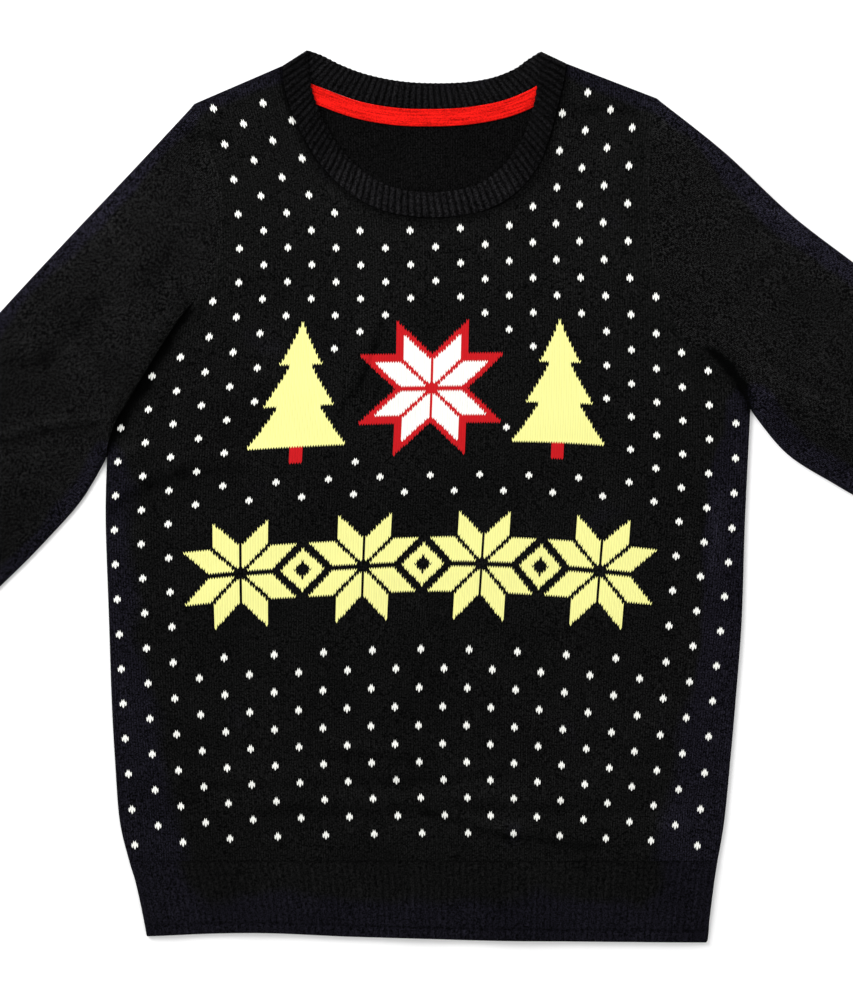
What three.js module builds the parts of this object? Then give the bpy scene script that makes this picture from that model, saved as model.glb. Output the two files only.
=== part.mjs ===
// A fine-knit crew-neck jumper laid flat, front up, in millimetres.
// X runs across, Y runs up from the hem to the neck and Z stands out of the table.
import * as THREE from "three";

// Driving sizes
const WALL = 1.6; // knitted cloth
const RIB_WALL = 1.8; // ribbed hem and cuffs, under their ribs
const BAND_WALL = 2.0; // the doubled neckband
const TAPE_WALL = 1.0;
const GAP = 0.3; // left between pieces at a seam
const LOFT = 1.3; // how far the front stands up off the back
const LOFT_REACH = 22; // how fast it gets there, coming in from an edge
const ROUND = 1.8; // the roll of the cloth at an edge
const HEM_HEIGHT = 60;
const HEM_RIBS = 89;
const CUFF_RIBS = 19;
const BAND_RIBS = 66; // across the front
const BACK_BAND_RIBS = 45;
const RIB_HEIGHT = 0.6;
const TAPE_WIDTH = 13;
const LIP_WALL = 1.2; // added where a sleeve's cloth is doubled over the body
const LIP_GAP = 0.8;
const BACK_TOP = WALL;
const FRONT_LOW = WALL + GAP;
const LIP_LIFT = WALL + LIP_GAP;
const BAND_LOW = FRONT_LOW + TAPE_WALL + GAP;

// Side edges, from the hem up to the armpits
const SIDE_LEFT = [
  { across: -209, up: 0 },
  { across: -213, up: 22 },
  { across: -218, up: 45 },
  { across: -222.5, up: 60 },
  { across: -229.5, up: 90 },
  { across: -233, up: 135 },
  { across: -235.5, up: 180 },
  { across: -237.5, up: 240 },
  { across: -240, up: 315 },
  { across: -239, up: 362 },
];
const SIDE_RIGHT = [
  { across: 210, up: 0 },
  { across: 213, up: 22 },
  { across: 216, up: 45 },
  { across: 218.5, up: 60 },
  { across: 223.5, up: 90 },
  { across: 228, up: 135 },
  { across: 232, up: 180 },
  { across: 236.5, up: 240 },
  { across: 239, up: 315 },
  { across: 243, up: 397.5 },
];

// The hem's lower edge, from left to right
const FOOT = [
  { across: -212, up: 3 },
  { across: -132, up: 5.8 },
  { across: -57, up: 3 },
  { across: 0, up: 1.5 },
  { across: 40, up: 0.2 },
  { across: 112, up: -0.6 },
  { across: 212, up: -1.5 },
];

// Armhole seams, from the armpit up to the shoulder; lap is how far the sleeve folds over the front
const ARMHOLE_LEFT = [
  { across: -239, up: 362, lap: 0 },
  { across: -236.5, up: 387, lap: 4 },
  { across: -226.5, up: 407, lap: 5 },
  { across: -213, up: 428, lap: 4.4 },
  { across: -200, up: 447, lap: 3.4 },
  { across: -186.5, up: 464, lap: 1.6 },
  { across: -172.5, up: 480, lap: 0 },
  { across: -161, up: 497, lap: 0 },
  { across: -155.5, up: 520, lap: 0 },
  { across: -155.5, up: 550, lap: 0 },
  { across: -159, up: 572, lap: 0 },
  { across: -166.5, up: 596, lap: 0 },
  { across: -173, up: 627, lap: 0 },
];
const ARMHOLE_RIGHT = [
  { across: 243, up: 397.5, lap: 0 },
  { across: 236, up: 413, lap: 0 },
  { across: 224, up: 425.5, lap: 0 },
  { across: 208.5, up: 437, lap: 0 },
  { across: 192, up: 450, lap: 0 },
  { across: 181, up: 475, lap: 0 },
  { across: 174, up: 500, lap: 0 },
  { across: 169.5, up: 522, lap: 0 },
  { across: 168.5, up: 552, lap: 0 },
  { across: 168, up: 583, lap: 0 },
  { across: 169.5, up: 610, lap: 0 },
  { across: 172.5, up: 631, lap: 0 },
];

// Shares of an armhole's length, down from the shoulder, where panels and sleeves have matching points
const ARMHOLE_SHARES = [
  0, 0.004, 0.012, 0.09, 0.18, 0.26, 0.34, 0.42, 0.5, 0.58,
  0.66, 0.74, 0.81, 0.88, 0.93, 0.965, 0.988, 0.996, 1,
];

// Neckband across the front: its seam to the panel and its free edge, from the left fold to the right
const BAND_FRONT = [
  { seamAcross: -107, seamUp: 655.5, freeAcross: -89, freeUp: 667 },
  { seamAcross: -106.5, seamUp: 642, freeAcross: -88, freeUp: 649 },
  { seamAcross: -101, seamUp: 622.5, freeAcross: -84, freeUp: 631.5 },
  { seamAcross: -93, seamUp: 604.5, freeAcross: -77, freeUp: 613.5 },
  { seamAcross: -79.5, seamUp: 582, freeAcross: -66, freeUp: 595 },
  { seamAcross: -58.5, seamUp: 561, freeAcross: -49, freeUp: 577 },
  { seamAcross: -31.5, seamUp: 546.5, freeAcross: -26, freeUp: 564 },
  { seamAcross: 3, seamUp: 541.5, freeAcross: 1.5, freeUp: 559.5 },
  { seamAcross: 39, seamUp: 545.5, freeAcross: 34.5, freeUp: 564 },
  { seamAcross: 64.5, seamUp: 558, freeAcross: 55, freeUp: 577 },
  { seamAcross: 82.5, seamUp: 577.5, freeAcross: 69, freeUp: 594 },
  { seamAcross: 91.5, seamUp: 598.5, freeAcross: 77, freeUp: 612 },
  { seamAcross: 98, seamUp: 622.5, freeAcross: 82, freeUp: 631.5 },
  { seamAcross: 103, seamUp: 643.5, freeAcross: 84, freeUp: 649.5 },
  { seamAcross: 105, seamUp: 657, freeAcross: 86, freeUp: 666 },
];
const BAND_BACK = [
  { seamAcross: -107, seamUp: 655.5, freeAcross: -89, freeUp: 667 },
  { seamAcross: -94, seamUp: 646, freeAcross: -78, freeUp: 663 },
  { seamAcross: -75, seamUp: 638, freeAcross: -64, freeUp: 656 },
  { seamAcross: -49.5, seamUp: 629, freeAcross: -45, freeUp: 649 },
  { seamAcross: -23, seamUp: 624.3, freeAcross: -21, freeUp: 644 },
  { seamAcross: 3, seamUp: 623.3, freeAcross: 3, freeUp: 642.3 },
  { seamAcross: 29, seamUp: 624.5, freeAcross: 29, freeUp: 643 },
  { seamAcross: 55, seamUp: 629, freeAcross: 50, freeUp: 646.5 },
  { seamAcross: 76, seamUp: 637, freeAcross: 66.5, freeUp: 653 },
  { seamAcross: 93, seamUp: 647, freeAcross: 76.5, freeUp: 660 },
  { seamAcross: 105, seamUp: 657, freeAcross: 86, freeUp: 666 },
];

// Sleeves: matching points on the shoulder edge and the underarm edge, from the armhole to the cuff
const SLEEVE_LEFT = [
  { topAcross: -173, topUp: 627, lowAcross: -239, lowUp: 362 },
  { topAcross: -220.5, topUp: 576, lowAcross: -258, lowUp: 330 },
  { topAcross: -266, topUp: 528, lowAcross: -283, lowUp: 301.5 },
  { topAcross: -312, topUp: 478.5, lowAcross: -310, lowUp: 274 },
  { topAcross: -357, topUp: 428, lowAcross: -338, lowUp: 249 },
  { topAcross: -447, topUp: 326, lowAcross: -400.5, lowUp: 201 },
  { topAcross: -537, topUp: 225, lowAcross: -462, lowUp: 154 },
];
const SLEEVE_RIGHT = [
  { topAcross: 172.5, topUp: 631, lowAcross: 243, lowUp: 397.5 },
  { topAcross: 223, topUp: 591, lowAcross: 270, lowUp: 365 },
  { topAcross: 274.5, topUp: 543, lowAcross: 306, lowUp: 342 },
  { topAcross: 328, topUp: 502, lowAcross: 344, lowUp: 320.5 },
  { topAcross: 381, topUp: 460, lowAcross: 382, lowUp: 300 },
  { topAcross: 489, topUp: 377, lowAcross: 457, lowUp: 257 },
  { topAcross: 597, topUp: 295.5, lowAcross: 534, lowUp: 214 },
];
const CUFF_LEFT = [
  { topAcross: -537.2, topUp: 224.8, lowAcross: -462.2, lowUp: 153.8 },
  { topAcross: -542, topUp: 208, lowAcross: -475, lowUp: 148 },
  { topAcross: -556, topUp: 190, lowAcross: -490, lowUp: 131 },
  { topAcross: -572, topUp: 173, lowAcross: -507, lowUp: 115 },
];
const CUFF_RIGHT = [
  { topAcross: 597.3, topUp: 295.3, lowAcross: 534.3, lowUp: 213.7 },
  { topAcross: 606, topUp: 280, lowAcross: 551, lowUp: 209 },
  { topAcross: 623, topUp: 266.5, lowAcross: 568, lowUp: 196 },
  { topAcross: 641, topUp: 252.5, lowAcross: 587, lowUp: 182 },
];

// Largest folds: soft ridges and troughs along a line, with their spread to each side and their rise
const FOLDS = [
  { across: -150, up: 106, toAcross: 130, toUp: 112, spread: 9, rise: 1.4 },
  { across: -60, up: 84, toAcross: 190, toUp: 90, spread: 7, rise: 1.1 },
  { across: -215, up: 128, toAcross: -60, toUp: 122, spread: 8, rise: 0.8 },
  { across: 20, up: 130, toAcross: 205, toUp: 124, spread: 8, rise: 0.9 },
  { across: -34, up: 461, toAcross: -64, toUp: 396, spread: 6, rise: -0.9 },
  { across: -50, up: 452, toAcross: -84, toUp: 392, spread: 10, rise: 0.8 },
  { across: -222, up: 380, toAcross: -140, toUp: 352, spread: 10, rise: 1.8 },
  { across: 205, up: 428, toAcross: 232, toUp: 402, spread: 10, rise: 2.4 },
  { across: 216, up: 330, toAcross: 219, toUp: 285, spread: 8, rise: 0.9 },
  { across: -245, up: 400, toAcross: -330, toUp: 378, spread: 9, rise: 2.2 },
  { across: -250, up: 385, toAcross: -318, toUp: 372, spread: 6, rise: -0.8 },
  { across: -272, up: 445, toAcross: -322, toUp: 436, spread: 10, rise: 1.6 },
  { across: 222, up: 556, toAcross: 292, toUp: 530, spread: 11, rise: 1.6 },
  { across: 250, up: 530, toAcross: 300, toUp: 500, spread: 9, rise: 1.2 },
  { across: 280, up: 378, toAcross: 344, toUp: 362, spread: 11, rise: 1.8 },
  { across: -405, up: 300, toAcross: -440, toUp: 232, spread: 12, rise: 1.6 },
  { across: -470, up: 262, toAcross: -482, toUp: 196, spread: 10, rise: 1.4 },
  { across: 430, up: 396, toAcross: 440, toUp: 300, spread: 12, rise: 1.5 },
  { across: 520, up: 330, toAcross: 530, toUp: 252, spread: 10, rise: 1.5 },
];

// Materials, one look for each kind of cloth
const cloth = (color, roughness) => new THREE.MeshStandardMaterial({ color, roughness, metalness: 0 });
const KNIT = 0x151517;
const RIB = 0x17171b;
const TAPE = 0xe8241c;

// Curves through a table's points
const point = (across, up) => new THREE.Vector2(across, up);
const curve = (points) => new THREE.SplineCurve(points);
const edgeOf = (rows) => rows.map((row) => point(row.across, row.up));
const column = (rows, end) => rows.map((row) => point(row[`${end}Across`], row[`${end}Up`]));
const mix = (a, b, share) => a.clone().lerp(b, share);

// Distance from the garment's outline, which the cloth rolls over
const outline = [
  ...[SIDE_LEFT, SIDE_RIGHT].map((rows) => curve(edgeOf(rows)).getPoints(40)),
  ...[SLEEVE_LEFT, SLEEVE_RIGHT, CUFF_LEFT, CUFF_RIGHT].flatMap((rows) =>
    ["top", "low"].map((end) => curve(column(rows, end)).getPoints(24)),
  ),
  [point(-173, 627), point(-107, 655.5)],
  [point(172.5, 631), point(105, 657)],
];
const segments = outline.flatMap((line) => line.slice(1).map((end, i) => [line[i], end]));

function awayFrom(place, from, to) {
  const along = to.clone().sub(from);
  const share = THREE.MathUtils.clamp(place.clone().sub(from).dot(along) / along.lengthSq(), 0, 1);
  return place.distanceTo(from.clone().addScaledVector(along, share));
}

function fromOutline(place) {
  let nearest = Infinity;
  for (const [from, to] of segments) {
    nearest = Math.min(nearest, awayFrom(place, from, to));
  }
  return nearest;
}

// How far the top layer stands above its lowest place: the loft, with the folds on it
function rise(place, edge) {
  let height = LOFT * (1 - Math.exp(-edge / LOFT_REACH));
  for (const fold of FOLDS) {
    const away = awayFrom(place, point(fold.across, fold.up), point(fold.toAcross, fold.toUp));
    height += fold.rise * Math.exp(-((away / fold.spread) ** 2)) * Math.min(1, edge / 12);
  }
  return Math.max(0, height);
}

// The share of its full height that rolled cloth has at a distance from its edge
const rolled = (edge) => Math.sqrt(1 - (1 - Math.min(1, edge / ROUND)) ** 2);

// A closed body from two grids of points, outer and inner, with rims round their edges
function wallMesh(name, outer, inner, around, color, roughness) {
  const rows = outer.length;
  const columns = outer[0].length;
  const places = [...outer.flat(), ...inner.flat()].flatMap((place) => [place.x, place.y, place.z]);
  const index = [];
  const at = (layer, row, col) => layer * rows * columns + row * columns + (col % columns);
  const quad = (a, b, c, d) => index.push(a, b, c, a, c, d);
  const last = around ? columns : columns - 1;
  for (let row = 0; row < rows - 1; row++) {
    for (let col = 0; col < last; col++) {
      quad(at(0, row, col), at(0, row, col + 1), at(0, row + 1, col + 1), at(0, row + 1, col));
      quad(at(1, row, col), at(1, row + 1, col), at(1, row + 1, col + 1), at(1, row, col + 1));
    }
  }
  for (let col = 0; col < last; col++) {
    const top = rows - 1;
    quad(at(0, 0, col), at(1, 0, col), at(1, 0, col + 1), at(0, 0, col + 1));
    quad(at(0, top, col), at(0, top, col + 1), at(1, top, col + 1), at(1, top, col));
  }
  for (let row = 0; row < rows - 1 && !around; row++) {
    const right = columns - 1;
    quad(at(0, row, 0), at(0, row + 1, 0), at(1, row + 1, 0), at(1, row, 0));
    quad(at(0, row, right), at(1, row, right), at(1, row + 1, right), at(0, row + 1, right));
  }
  const geometry = new THREE.BufferGeometry();
  geometry.setAttribute("position", new THREE.Float32BufferAttribute(places, 3));
  geometry.setIndex(index);
  geometry.computeVertexNormals();
  const mesh = new THREE.Mesh(geometry, cloth(color, roughness));
  mesh.name = name;
  return mesh;
}

// A flat layer over a plan of points, with its low and high faces
function layerMesh(name, plan, low, high, color, roughness) {
  const lift = (face) => plan.map((row, r) => row.map((place, c) => raise(place, face(place, r, c))));
  return wallMesh(name, lift(high), lift(low), false, color, roughness);
}
const raise = (place, z) => new THREE.Vector3(place.x, place.y, z);

// Shares of a panel's width: shoulders, neckline, and close together by its two sides, where it rolls
const NECK_FROM = 0.1;
const NECK_TO = 0.9;
const NECK_LATE = 6; // how late a panel's columns lean over to meet the neckline
const stepsBetween = (from, to, count) =>
  Array.from({ length: count }, (_, i) => from + ((to - from) * i) / count);

function panelColumns(shoulder, neck) {
  const left = [0, 0.0014, 0.0045, ...stepsBetween(0, NECK_FROM, shoulder).slice(1)];
  const right = left.map((share) => 1 - share).reverse();
  return [...left, ...stepsBetween(NECK_FROM, NECK_TO, neck), NECK_TO, ...right];
}

function longCurve(points) {
  const line = curve(points);
  line.arcLengthDivisions = 600;
  return line;
}

// A panel's plan: hem, both sides with their armholes, shoulders and neckline, blended over the middle
function panelPlan(neckRows, neckGap, sideShares, columns) {
  const edges = [[SIDE_LEFT, ARMHOLE_LEFT], [SIDE_RIGHT, ARMHOLE_RIGHT]].map(([sideRows, armholeRows]) => {
    const side = longCurve(edgeOf(sideRows.slice(3)));
    const armhole = longCurve(edgeOf(armholeRows));
    const above = [...ARMHOLE_SHARES].reverse().slice(1);
    return [
      ...sideShares.map((share) => side.getPointAt(share)),
      ...above.map((share) => armhole.getPointAt(1 - share)),
    ];
  });
  const [left, right] = edges;
  const last = left.length - 1;
  const neck = longCurve(neckRows.map((row) => {
    const seam = point(row.seamAcross, row.seamUp);
    const out = seam.clone().sub(point(row.freeAcross, row.freeUp)).setLength(neckGap);
    return seam.add(out);
  }));
  const top = (share) => {
    if (share < NECK_FROM) {
      return mix(left[last], neck.getPoint(0), share / NECK_FROM);
    }
    if (share > NECK_TO) {
      return mix(neck.getPoint(1), right[last], (share - NECK_TO) / (1 - NECK_TO));
    }
    return neck.getPointAt((share - NECK_FROM) / (NECK_TO - NECK_FROM));
  };
  const height = (row) => left[row].y + right[row].y;
  return left.map((_, row) => columns.map((s) => {
    const t = (height(row) - height(0)) / (height(last) - height(0));
    const bend = top(s).sub(mix(left[last], right[last], s));
    return mix(left[row], right[row], s).add(point(bend.x * t ** NECK_LATE, bend.y * t));
  }));
}

const frontTop = (place) => {
  const edge = fromOutline(place);
  return FRONT_LOW + rise(place, edge) + 0.4 + (WALL - 0.4) * rolled(edge);
};
const frontLow = (place) => FRONT_LOW + rise(place, fromOutline(place));
const backLow = (place) => (WALL - 0.4) * (1 - rolled(fromOutline(place)));

function frontPanel() {
  const sideShares = [0, 0.035, 0.075, 0.115, 0.155, 0.2, 0.28, 0.42, 0.6, 0.78, 0.92, 1];
  const plan = panelPlan(BAND_FRONT, GAP + 0.4, sideShares, panelColumns(3, 24));
  return layerMesh("front_panel", plan, frontLow, frontTop, KNIT, 0.92);
}

function backPanel() {
  const plan = panelPlan(BAND_BACK, GAP + 0.8, [0, 0.4, 0.8, 1], panelColumns(2, 16));
  return layerMesh("back_panel", plan, backLow, () => BACK_TOP, KNIT, 0.92);
}

// Ribbed hem: a plan between the side edges, below the panels
function hemPlan(columns, heights) {
  const left = curve(edgeOf(SIDE_LEFT.slice(0, 5)));
  const right = curve(edgeOf(SIDE_RIGHT.slice(0, 5)));
  const nearest = (line, axis, value) => line.getPoints(200).reduce((near, place) =>
    (Math.abs(place[axis] - value) < Math.abs(near[axis] - value) ? place : near));
  const foot = curve(edgeOf(FOOT));
  return heights.map((up) => {
    const from = nearest(left, "y", up).x;
    const to = nearest(right, "y", up).x;
    return columns.map((share) => {
      const across = from + (to - from) * share;
      return point(across, up + nearest(foot, "x", across).y * (1 - up / HEM_HEIGHT));
    });
  });
}

function frontHem() {
  const columns = [...stepsBetween(0, 1, 2 * HEM_RIBS), 1];
  const plan = hemPlan(columns, [0, 9, HEM_HEIGHT - GAP]);
  const bottom = [0.55, 1, 1];
  const high = (place, row, col) => {
    const edge = fromOutline(place);
    const rib = RIB_HEIGHT * (col % 2) * rolled(edge);
    return FRONT_LOW + rise(place, edge) + 0.4 + (RIB_WALL - 0.4 + rib) * bottom[row] * rolled(edge);
  };
  return layerMesh("front_hem_rib", plan, frontLow, high, RIB, 0.95);
}

function backHem() {
  const plan = hemPlan(panelColumns(2, 4), [0, 9, HEM_HEIGHT - GAP]);
  return layerMesh("back_hem_rib", plan, backLow, () => BACK_TOP, RIB, 0.95);
}

// A flattened tube: rings of points over its top and back under its bottom, outer and inner
function tubeMesh(name, rings, color, roughness) {
  const outer = rings.map((ring) => ring.outer);
  const inner = rings.map((ring) => ring.inner);
  return wallMesh(name, outer, inner, true, color, roughness);
}

// One ring, from its top and bottom lines in plan and their heights by distance from the ends
function ringOf(top, bottom, heights) {
  const place = (line, share, height) => raise(line(share), height);
  const ring = (inset, upper, lower) => {
    const inward = (share) => inset + share * (1 - inset / heights.endZone);
    const squeeze = (share) => {
      if (share < heights.endZone) {
        return inward(share);
      }
      return share > 1 - heights.endZone ? 1 - inward(1 - share) : share;
    };
    const over = heights.topShares.map((share, i) => place(top, squeeze(share), upper(share, i)));
    const under = heights.bottomShares.map((share, i) => place(bottom, squeeze(share), lower(share, i)));
    return [...over, ...under.slice(1, -1).reverse()];
  };
  return {
    outer: ring(0, heights.topHigh, heights.bottomLow).reverse(),
    inner: ring(heights.inset, heights.topLow, heights.bottomHigh).reverse(),
  };
}

// Sleeves
const SLEEVE_WIDTH = 150;
const SEAM_PAST = 0.4;
const LIP_ROWS = [
  { past: SEAM_PAST, lap: 1, lift: 1 },
  { past: 0.9, lap: 0.66, lift: 1 },
  { past: 1.6, lap: 0, lift: 1 },
  { past: 2.4, lap: 0, lift: 0.6 },
];
const SEAM_CLEAR = 3; // the sleeve's sections near the seam stand off it by this, and then by more
const CLEAR_GROWTH = 30;
const STRAIGHT_FROM = 0.375; // the share of a sleeve past which its sections are straight
const SLEEVE_ROWS = [0.1, 0.19, 0.29, 0.39, 0.5, 0.65, 0.82, 0.9985];
const OPEN_COLUMNS = 3; // columns by each edge where a sleeve never lifts

function sleeve(name, armholeRows, sleeveRows, side) {
  const rows = [...armholeRows].reverse();
  const armhole = longCurve(edgeOf(rows));
  const laps = curve(rows.map((row, i) => point(i / (rows.length - 1), row.lap)));
  const upper = curve(column(sleeveRows, "top"));
  const lower = curve(column(sleeveRows, "low"));
  const lapAt = ARMHOLE_SHARES.map((share, i) => {
    const lap = laps.getPoint(armhole.getUtoTmapping(share)).y;
    const free = i > OPEN_COLUMNS && i < ARMHOLE_SHARES.length - OPEN_COLUMNS - 1;
    return free && lap > 0.8 ? lap : 0;
  });
  const liftAt = lapAt.map((lap, i) => (Math.max(lap, lapAt[i - 1] ?? 0, lapAt[i + 1] ?? 0) > 0 ? 1 : 0));
  const toBody = (share) => {
    const along = armhole.getTangentAt(share);
    return point(-along.y * side, along.x * side);
  };
  const section = (t, share) => mix(upper.getPoint(t), lower.getPoint(t), share);
  const inner = (share) => Math.min(1, 12 * share * (1 - share));
  const between = (t, share) => {
    const part = t / STRAIGHT_FROM;
    const clear = (SEAM_CLEAR + CLEAR_GROWTH * part) * (1 - part) ** 2 * inner(share);
    const place = mix(armhole.getPointAt(share), section(STRAIGHT_FROM, share), part);
    place.addScaledVector(toBody(share), -clear);
    for (const [edge, weight] of [[upper, 1 - share], [lower, share]]) {
      const straight = mix(edge.getPoint(0), edge.getPoint(STRAIGHT_FROM), part);
      place.addScaledVector(edge.getPoint(t).sub(straight), weight);
    }
    return place;
  };
  const indexOf = (share) => ARMHOLE_SHARES.reduce((near, s, i) =>
    (Math.abs(s - share) < Math.abs(ARMHOLE_SHARES[near] - share) ? i : near), 0);
  const seamLine = (row, lapped) => (share) => {
    const lap = lapped ? lapAt[indexOf(share)] : 0;
    const past = SEAM_PAST + (row.past - SEAM_PAST) * Math.min(1, 0.2 + inner(share));
    return armhole.getPointAt(share).addScaledVector(toBody(share), lap * row.lap - past);
  };
  const sleeveLine = (t) => (share) => (t < STRAIGHT_FROM ? between(t, share) : section(t, share));
  const ring = (top, bottom, lift) => {
    const middle = WALL + GAP / 2;
    const edgeShare = (share) => rolled(Math.min(share, 1 - share) * SLEEVE_WIDTH * 0.7);
    const fromMiddle = (share, full) => middle + (full - middle) * edgeShare(share);
    const onTop = (share) => FRONT_LOW + rise(top(share), Math.min(share, 1 - share) * SLEEVE_WIDTH);
    const lipHigh = lift * (LIP_LIFT + LIP_WALL);
    return ringOf(top, bottom, {
      topShares: ARMHOLE_SHARES,
      bottomShares: ARMHOLE_SHARES,
      inset: 0.012,
      endZone: 0.08,
      topHigh: (share, i) => fromMiddle(share, onTop(share) + WALL + liftAt[i] * lipHigh),
      topLow: (share, i) => fromMiddle(share, onTop(share) + liftAt[i] * lift * LIP_LIFT),
      bottomLow: (share) => fromMiddle(share, 0),
      bottomHigh: (share) => fromMiddle(share, WALL),
    });
  };
  const rings = [
    ...LIP_ROWS.map((row) => ring(seamLine(row, true), seamLine(row, false), row.lift)),
    ...SLEEVE_ROWS.map((t) => ring(sleeveLine(t), sleeveLine(t), 0)),
  ];
  return tubeMesh(name, side > 0 ? rings : flipped(rings), KNIT, 0.92);
}

// A mirrored ring runs the other way round, so that its faces still point outwards
const flipped = (rings) => rings.map((ring) => ({
  outer: [...ring.outer].reverse(),
  inner: [...ring.inner].reverse(),
}));

// Cuffs: ribbed over the top, plain underneath where they rest
function cuff(name, rows, side) {
  const upper = curve(column(rows, "top"));
  const lower = curve(column(rows, "low"));
  const topShares = [...stepsBetween(0, 1, 2 * CUFF_RIBS), 1];
  const bottomShares = [0, 0.03, 0.25, 0.5, 0.75, 0.97, 1];
  const middle = WALL + GAP / 2;
  const rings = [0.002, 0.4, 0.85, 1].map((t) => {
    const line = (share) => mix(upper.getPoint(t), lower.getPoint(t), share);
    const edgeShare = (share) => rolled(Math.min(share, 1 - share) * 70);
    const mouth = t === 1 ? 0.75 : 1;
    const ribbed = (i) => RIB_WALL + 0.6 + RIB_HEIGHT * (i % 2);
    return ringOf(line, line, {
      topShares,
      bottomShares,
      inset: 0.025,
      endZone: 0.1,
      topHigh: (share, i) => middle + ribbed(i) * edgeShare(share) * mouth,
      topLow: (share) => middle + 0.6 * edgeShare(share),
      bottomLow: (share) => middle - middle * edgeShare(share),
      bottomHigh: (share) => middle - (GAP / 2) * edgeShare(share),
    });
  });
  return tubeMesh(name, side > 0 ? rings : flipped(rings), RIB, 0.95);
}

// Neckband: a ring of rib folded flat, its front over its back
function neckband() {
  const edgesOf = (rows) => ["seam", "free"].map((end) => longCurve(column(rows, end)));
  const ends = [edgesOf(BAND_FRONT), edgesOf(BAND_BACK)];
  const topShares = [...stepsBetween(0, 1, 2 * BAND_RIBS), 1];
  const bottomShares = [...stepsBetween(0, 1, 2 * BACK_BAND_RIBS), 1];
  const high = BAND_LOW + BAND_WALL;
  const middle = high / 2;
  const rings = [
    { from: 0, full: 0.8 },
    { from: 0.86, full: 1 },
    { from: 1, full: 0.5 },
  ].map(({ from, full }) => {
    const [top, bottom] = ends.map(([seam, free]) => (share) =>
      mix(seam.getPointAt(share), free.getPointAt(share), from));
    const edgeShare = (share) => rolled(Math.min(share, 1 - share) * 260);
    const ribHere = (i) => RIB_HEIGHT * (i % 2) * full;
    const backRib = (share, i) => ribHere(i) * Math.min(1, share * 8, 8 - share * 8);
    return ringOf(top, bottom, {
      topShares,
      bottomShares,
      inset: 0.006,
      endZone: 0.03,
      topHigh: (share, i) => middle + (high - middle - (1 - full) + ribHere(i)) * edgeShare(share),
      topLow: (share) => middle + (BAND_LOW - middle) * edgeShare(share),
      bottomLow: (share) => middle - middle * edgeShare(share),
      bottomHigh: (share, i) => middle - (middle - BAND_WALL - backRib(share, i)) * edgeShare(share),
    });
  });
  return tubeMesh("neckband", flipped(rings), RIB, 0.95);
}

// Neck tape: a strip on the inside of the back, just below the neckband's seam
function neckTape() {
  const seam = longCurve(column(BAND_BACK, "seam"));
  const shares = [...stepsBetween(0.075, 0.925, 24), 0.925];
  const plan = [TAPE_WIDTH + 0.8, 0.8].map((below) => shares.map((share) => {
    const along = seam.getTangentAt(share);
    return seam.getPointAt(share).addScaledVector(point(along.y, -along.x), below);
  }));
  const low = BACK_TOP + GAP;
  return layerMesh("neck_tape", plan, () => low, () => low + TAPE_WALL, TAPE, 0.55);
}

const garment = new THREE.Group();
garment.name = "jumper";
garment.add(
  backPanel(),
  backHem(),
  sleeve("left_sleeve", ARMHOLE_LEFT, SLEEVE_LEFT, 1),
  sleeve("right_sleeve", ARMHOLE_RIGHT, SLEEVE_RIGHT, -1),
  cuff("left_cuff", CUFF_LEFT, 1),
  cuff("right_cuff", CUFF_RIGHT, -1),
  neckTape(),
  neckband(),
  frontHem(),
  frontPanel(),
);

// The middle of its underside is the origin
const box = new THREE.Box3().setFromObject(garment);
const middle = box.getCenter(new THREE.Vector3());
garment.position.set(-middle.x, -middle.y, -box.min.z);
garment.updateMatrixWorld(true);

export default garment;
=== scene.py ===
# A fine-knit jumper laid flat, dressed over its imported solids.
# Lengths in the tables are millimetres: across from the body's centre line, up from the hem.
import math

import bpy
import numpy as np
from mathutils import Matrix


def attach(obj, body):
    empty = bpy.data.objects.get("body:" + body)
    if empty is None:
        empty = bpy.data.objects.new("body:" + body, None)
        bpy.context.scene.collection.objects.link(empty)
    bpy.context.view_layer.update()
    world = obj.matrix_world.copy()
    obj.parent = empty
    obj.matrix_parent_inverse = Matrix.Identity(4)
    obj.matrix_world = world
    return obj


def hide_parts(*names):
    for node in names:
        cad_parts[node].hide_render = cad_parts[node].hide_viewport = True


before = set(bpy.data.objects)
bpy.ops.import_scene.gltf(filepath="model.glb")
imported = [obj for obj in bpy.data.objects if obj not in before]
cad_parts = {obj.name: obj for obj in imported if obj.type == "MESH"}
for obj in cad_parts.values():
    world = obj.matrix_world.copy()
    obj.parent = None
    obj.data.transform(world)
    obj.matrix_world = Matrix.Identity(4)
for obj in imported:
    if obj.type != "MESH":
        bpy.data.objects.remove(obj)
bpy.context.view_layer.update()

bl_info = {
    "name": "Laid-out jumper",
    "version": (1, 0, 0),
    "blender": (4, 5, 0),
    "location": "3D View > Sidebar > Jumper",
    "description": "Dresses a jumper's solids in knitted cloth, ribs and tape",
    "category": "Object",
}

# Heights of the layers, as in the solids
WALL = 1.6
GAP = 0.3
LOFT = 1.3
LOFT_REACH = 22
ROUND = 1.8
HEM_HEIGHT = 60
RIB_WALL = 1.8
BAND_WALL = 2.0
TAPE_WALL = 1.0
CLOTH_WALL = 1.3  # the shells that dress the solids
TAPE_CLOTH_WALL = 0.7
SKIN = 0.1  # how much a rolled edge keeps
FRONT_LOW = WALL + GAP
FRONT_HIGH = FRONT_LOW + WALL
BAND_LOW = FRONT_LOW + TAPE_WALL + GAP
LIP_LIFT = WALL + 0.8
LIP_WALL = 1.2
MIDDLE = WALL + GAP / 2

# Side edges: across, up
SIDE_LEFT = [(-209, 0), (-213, 22), (-218, 45), (-222.5, 60), (-229.5, 90), (-233, 135), (-235.5, 180),
             (-237.5, 240), (-240, 315), (-239, 362)]
SIDE_RIGHT = [(210, 0), (213, 22), (216, 45), (218.5, 60), (223.5, 90), (228, 135), (232, 180),
              (236.5, 240), (239, 315), (243, 397.5)]

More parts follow.
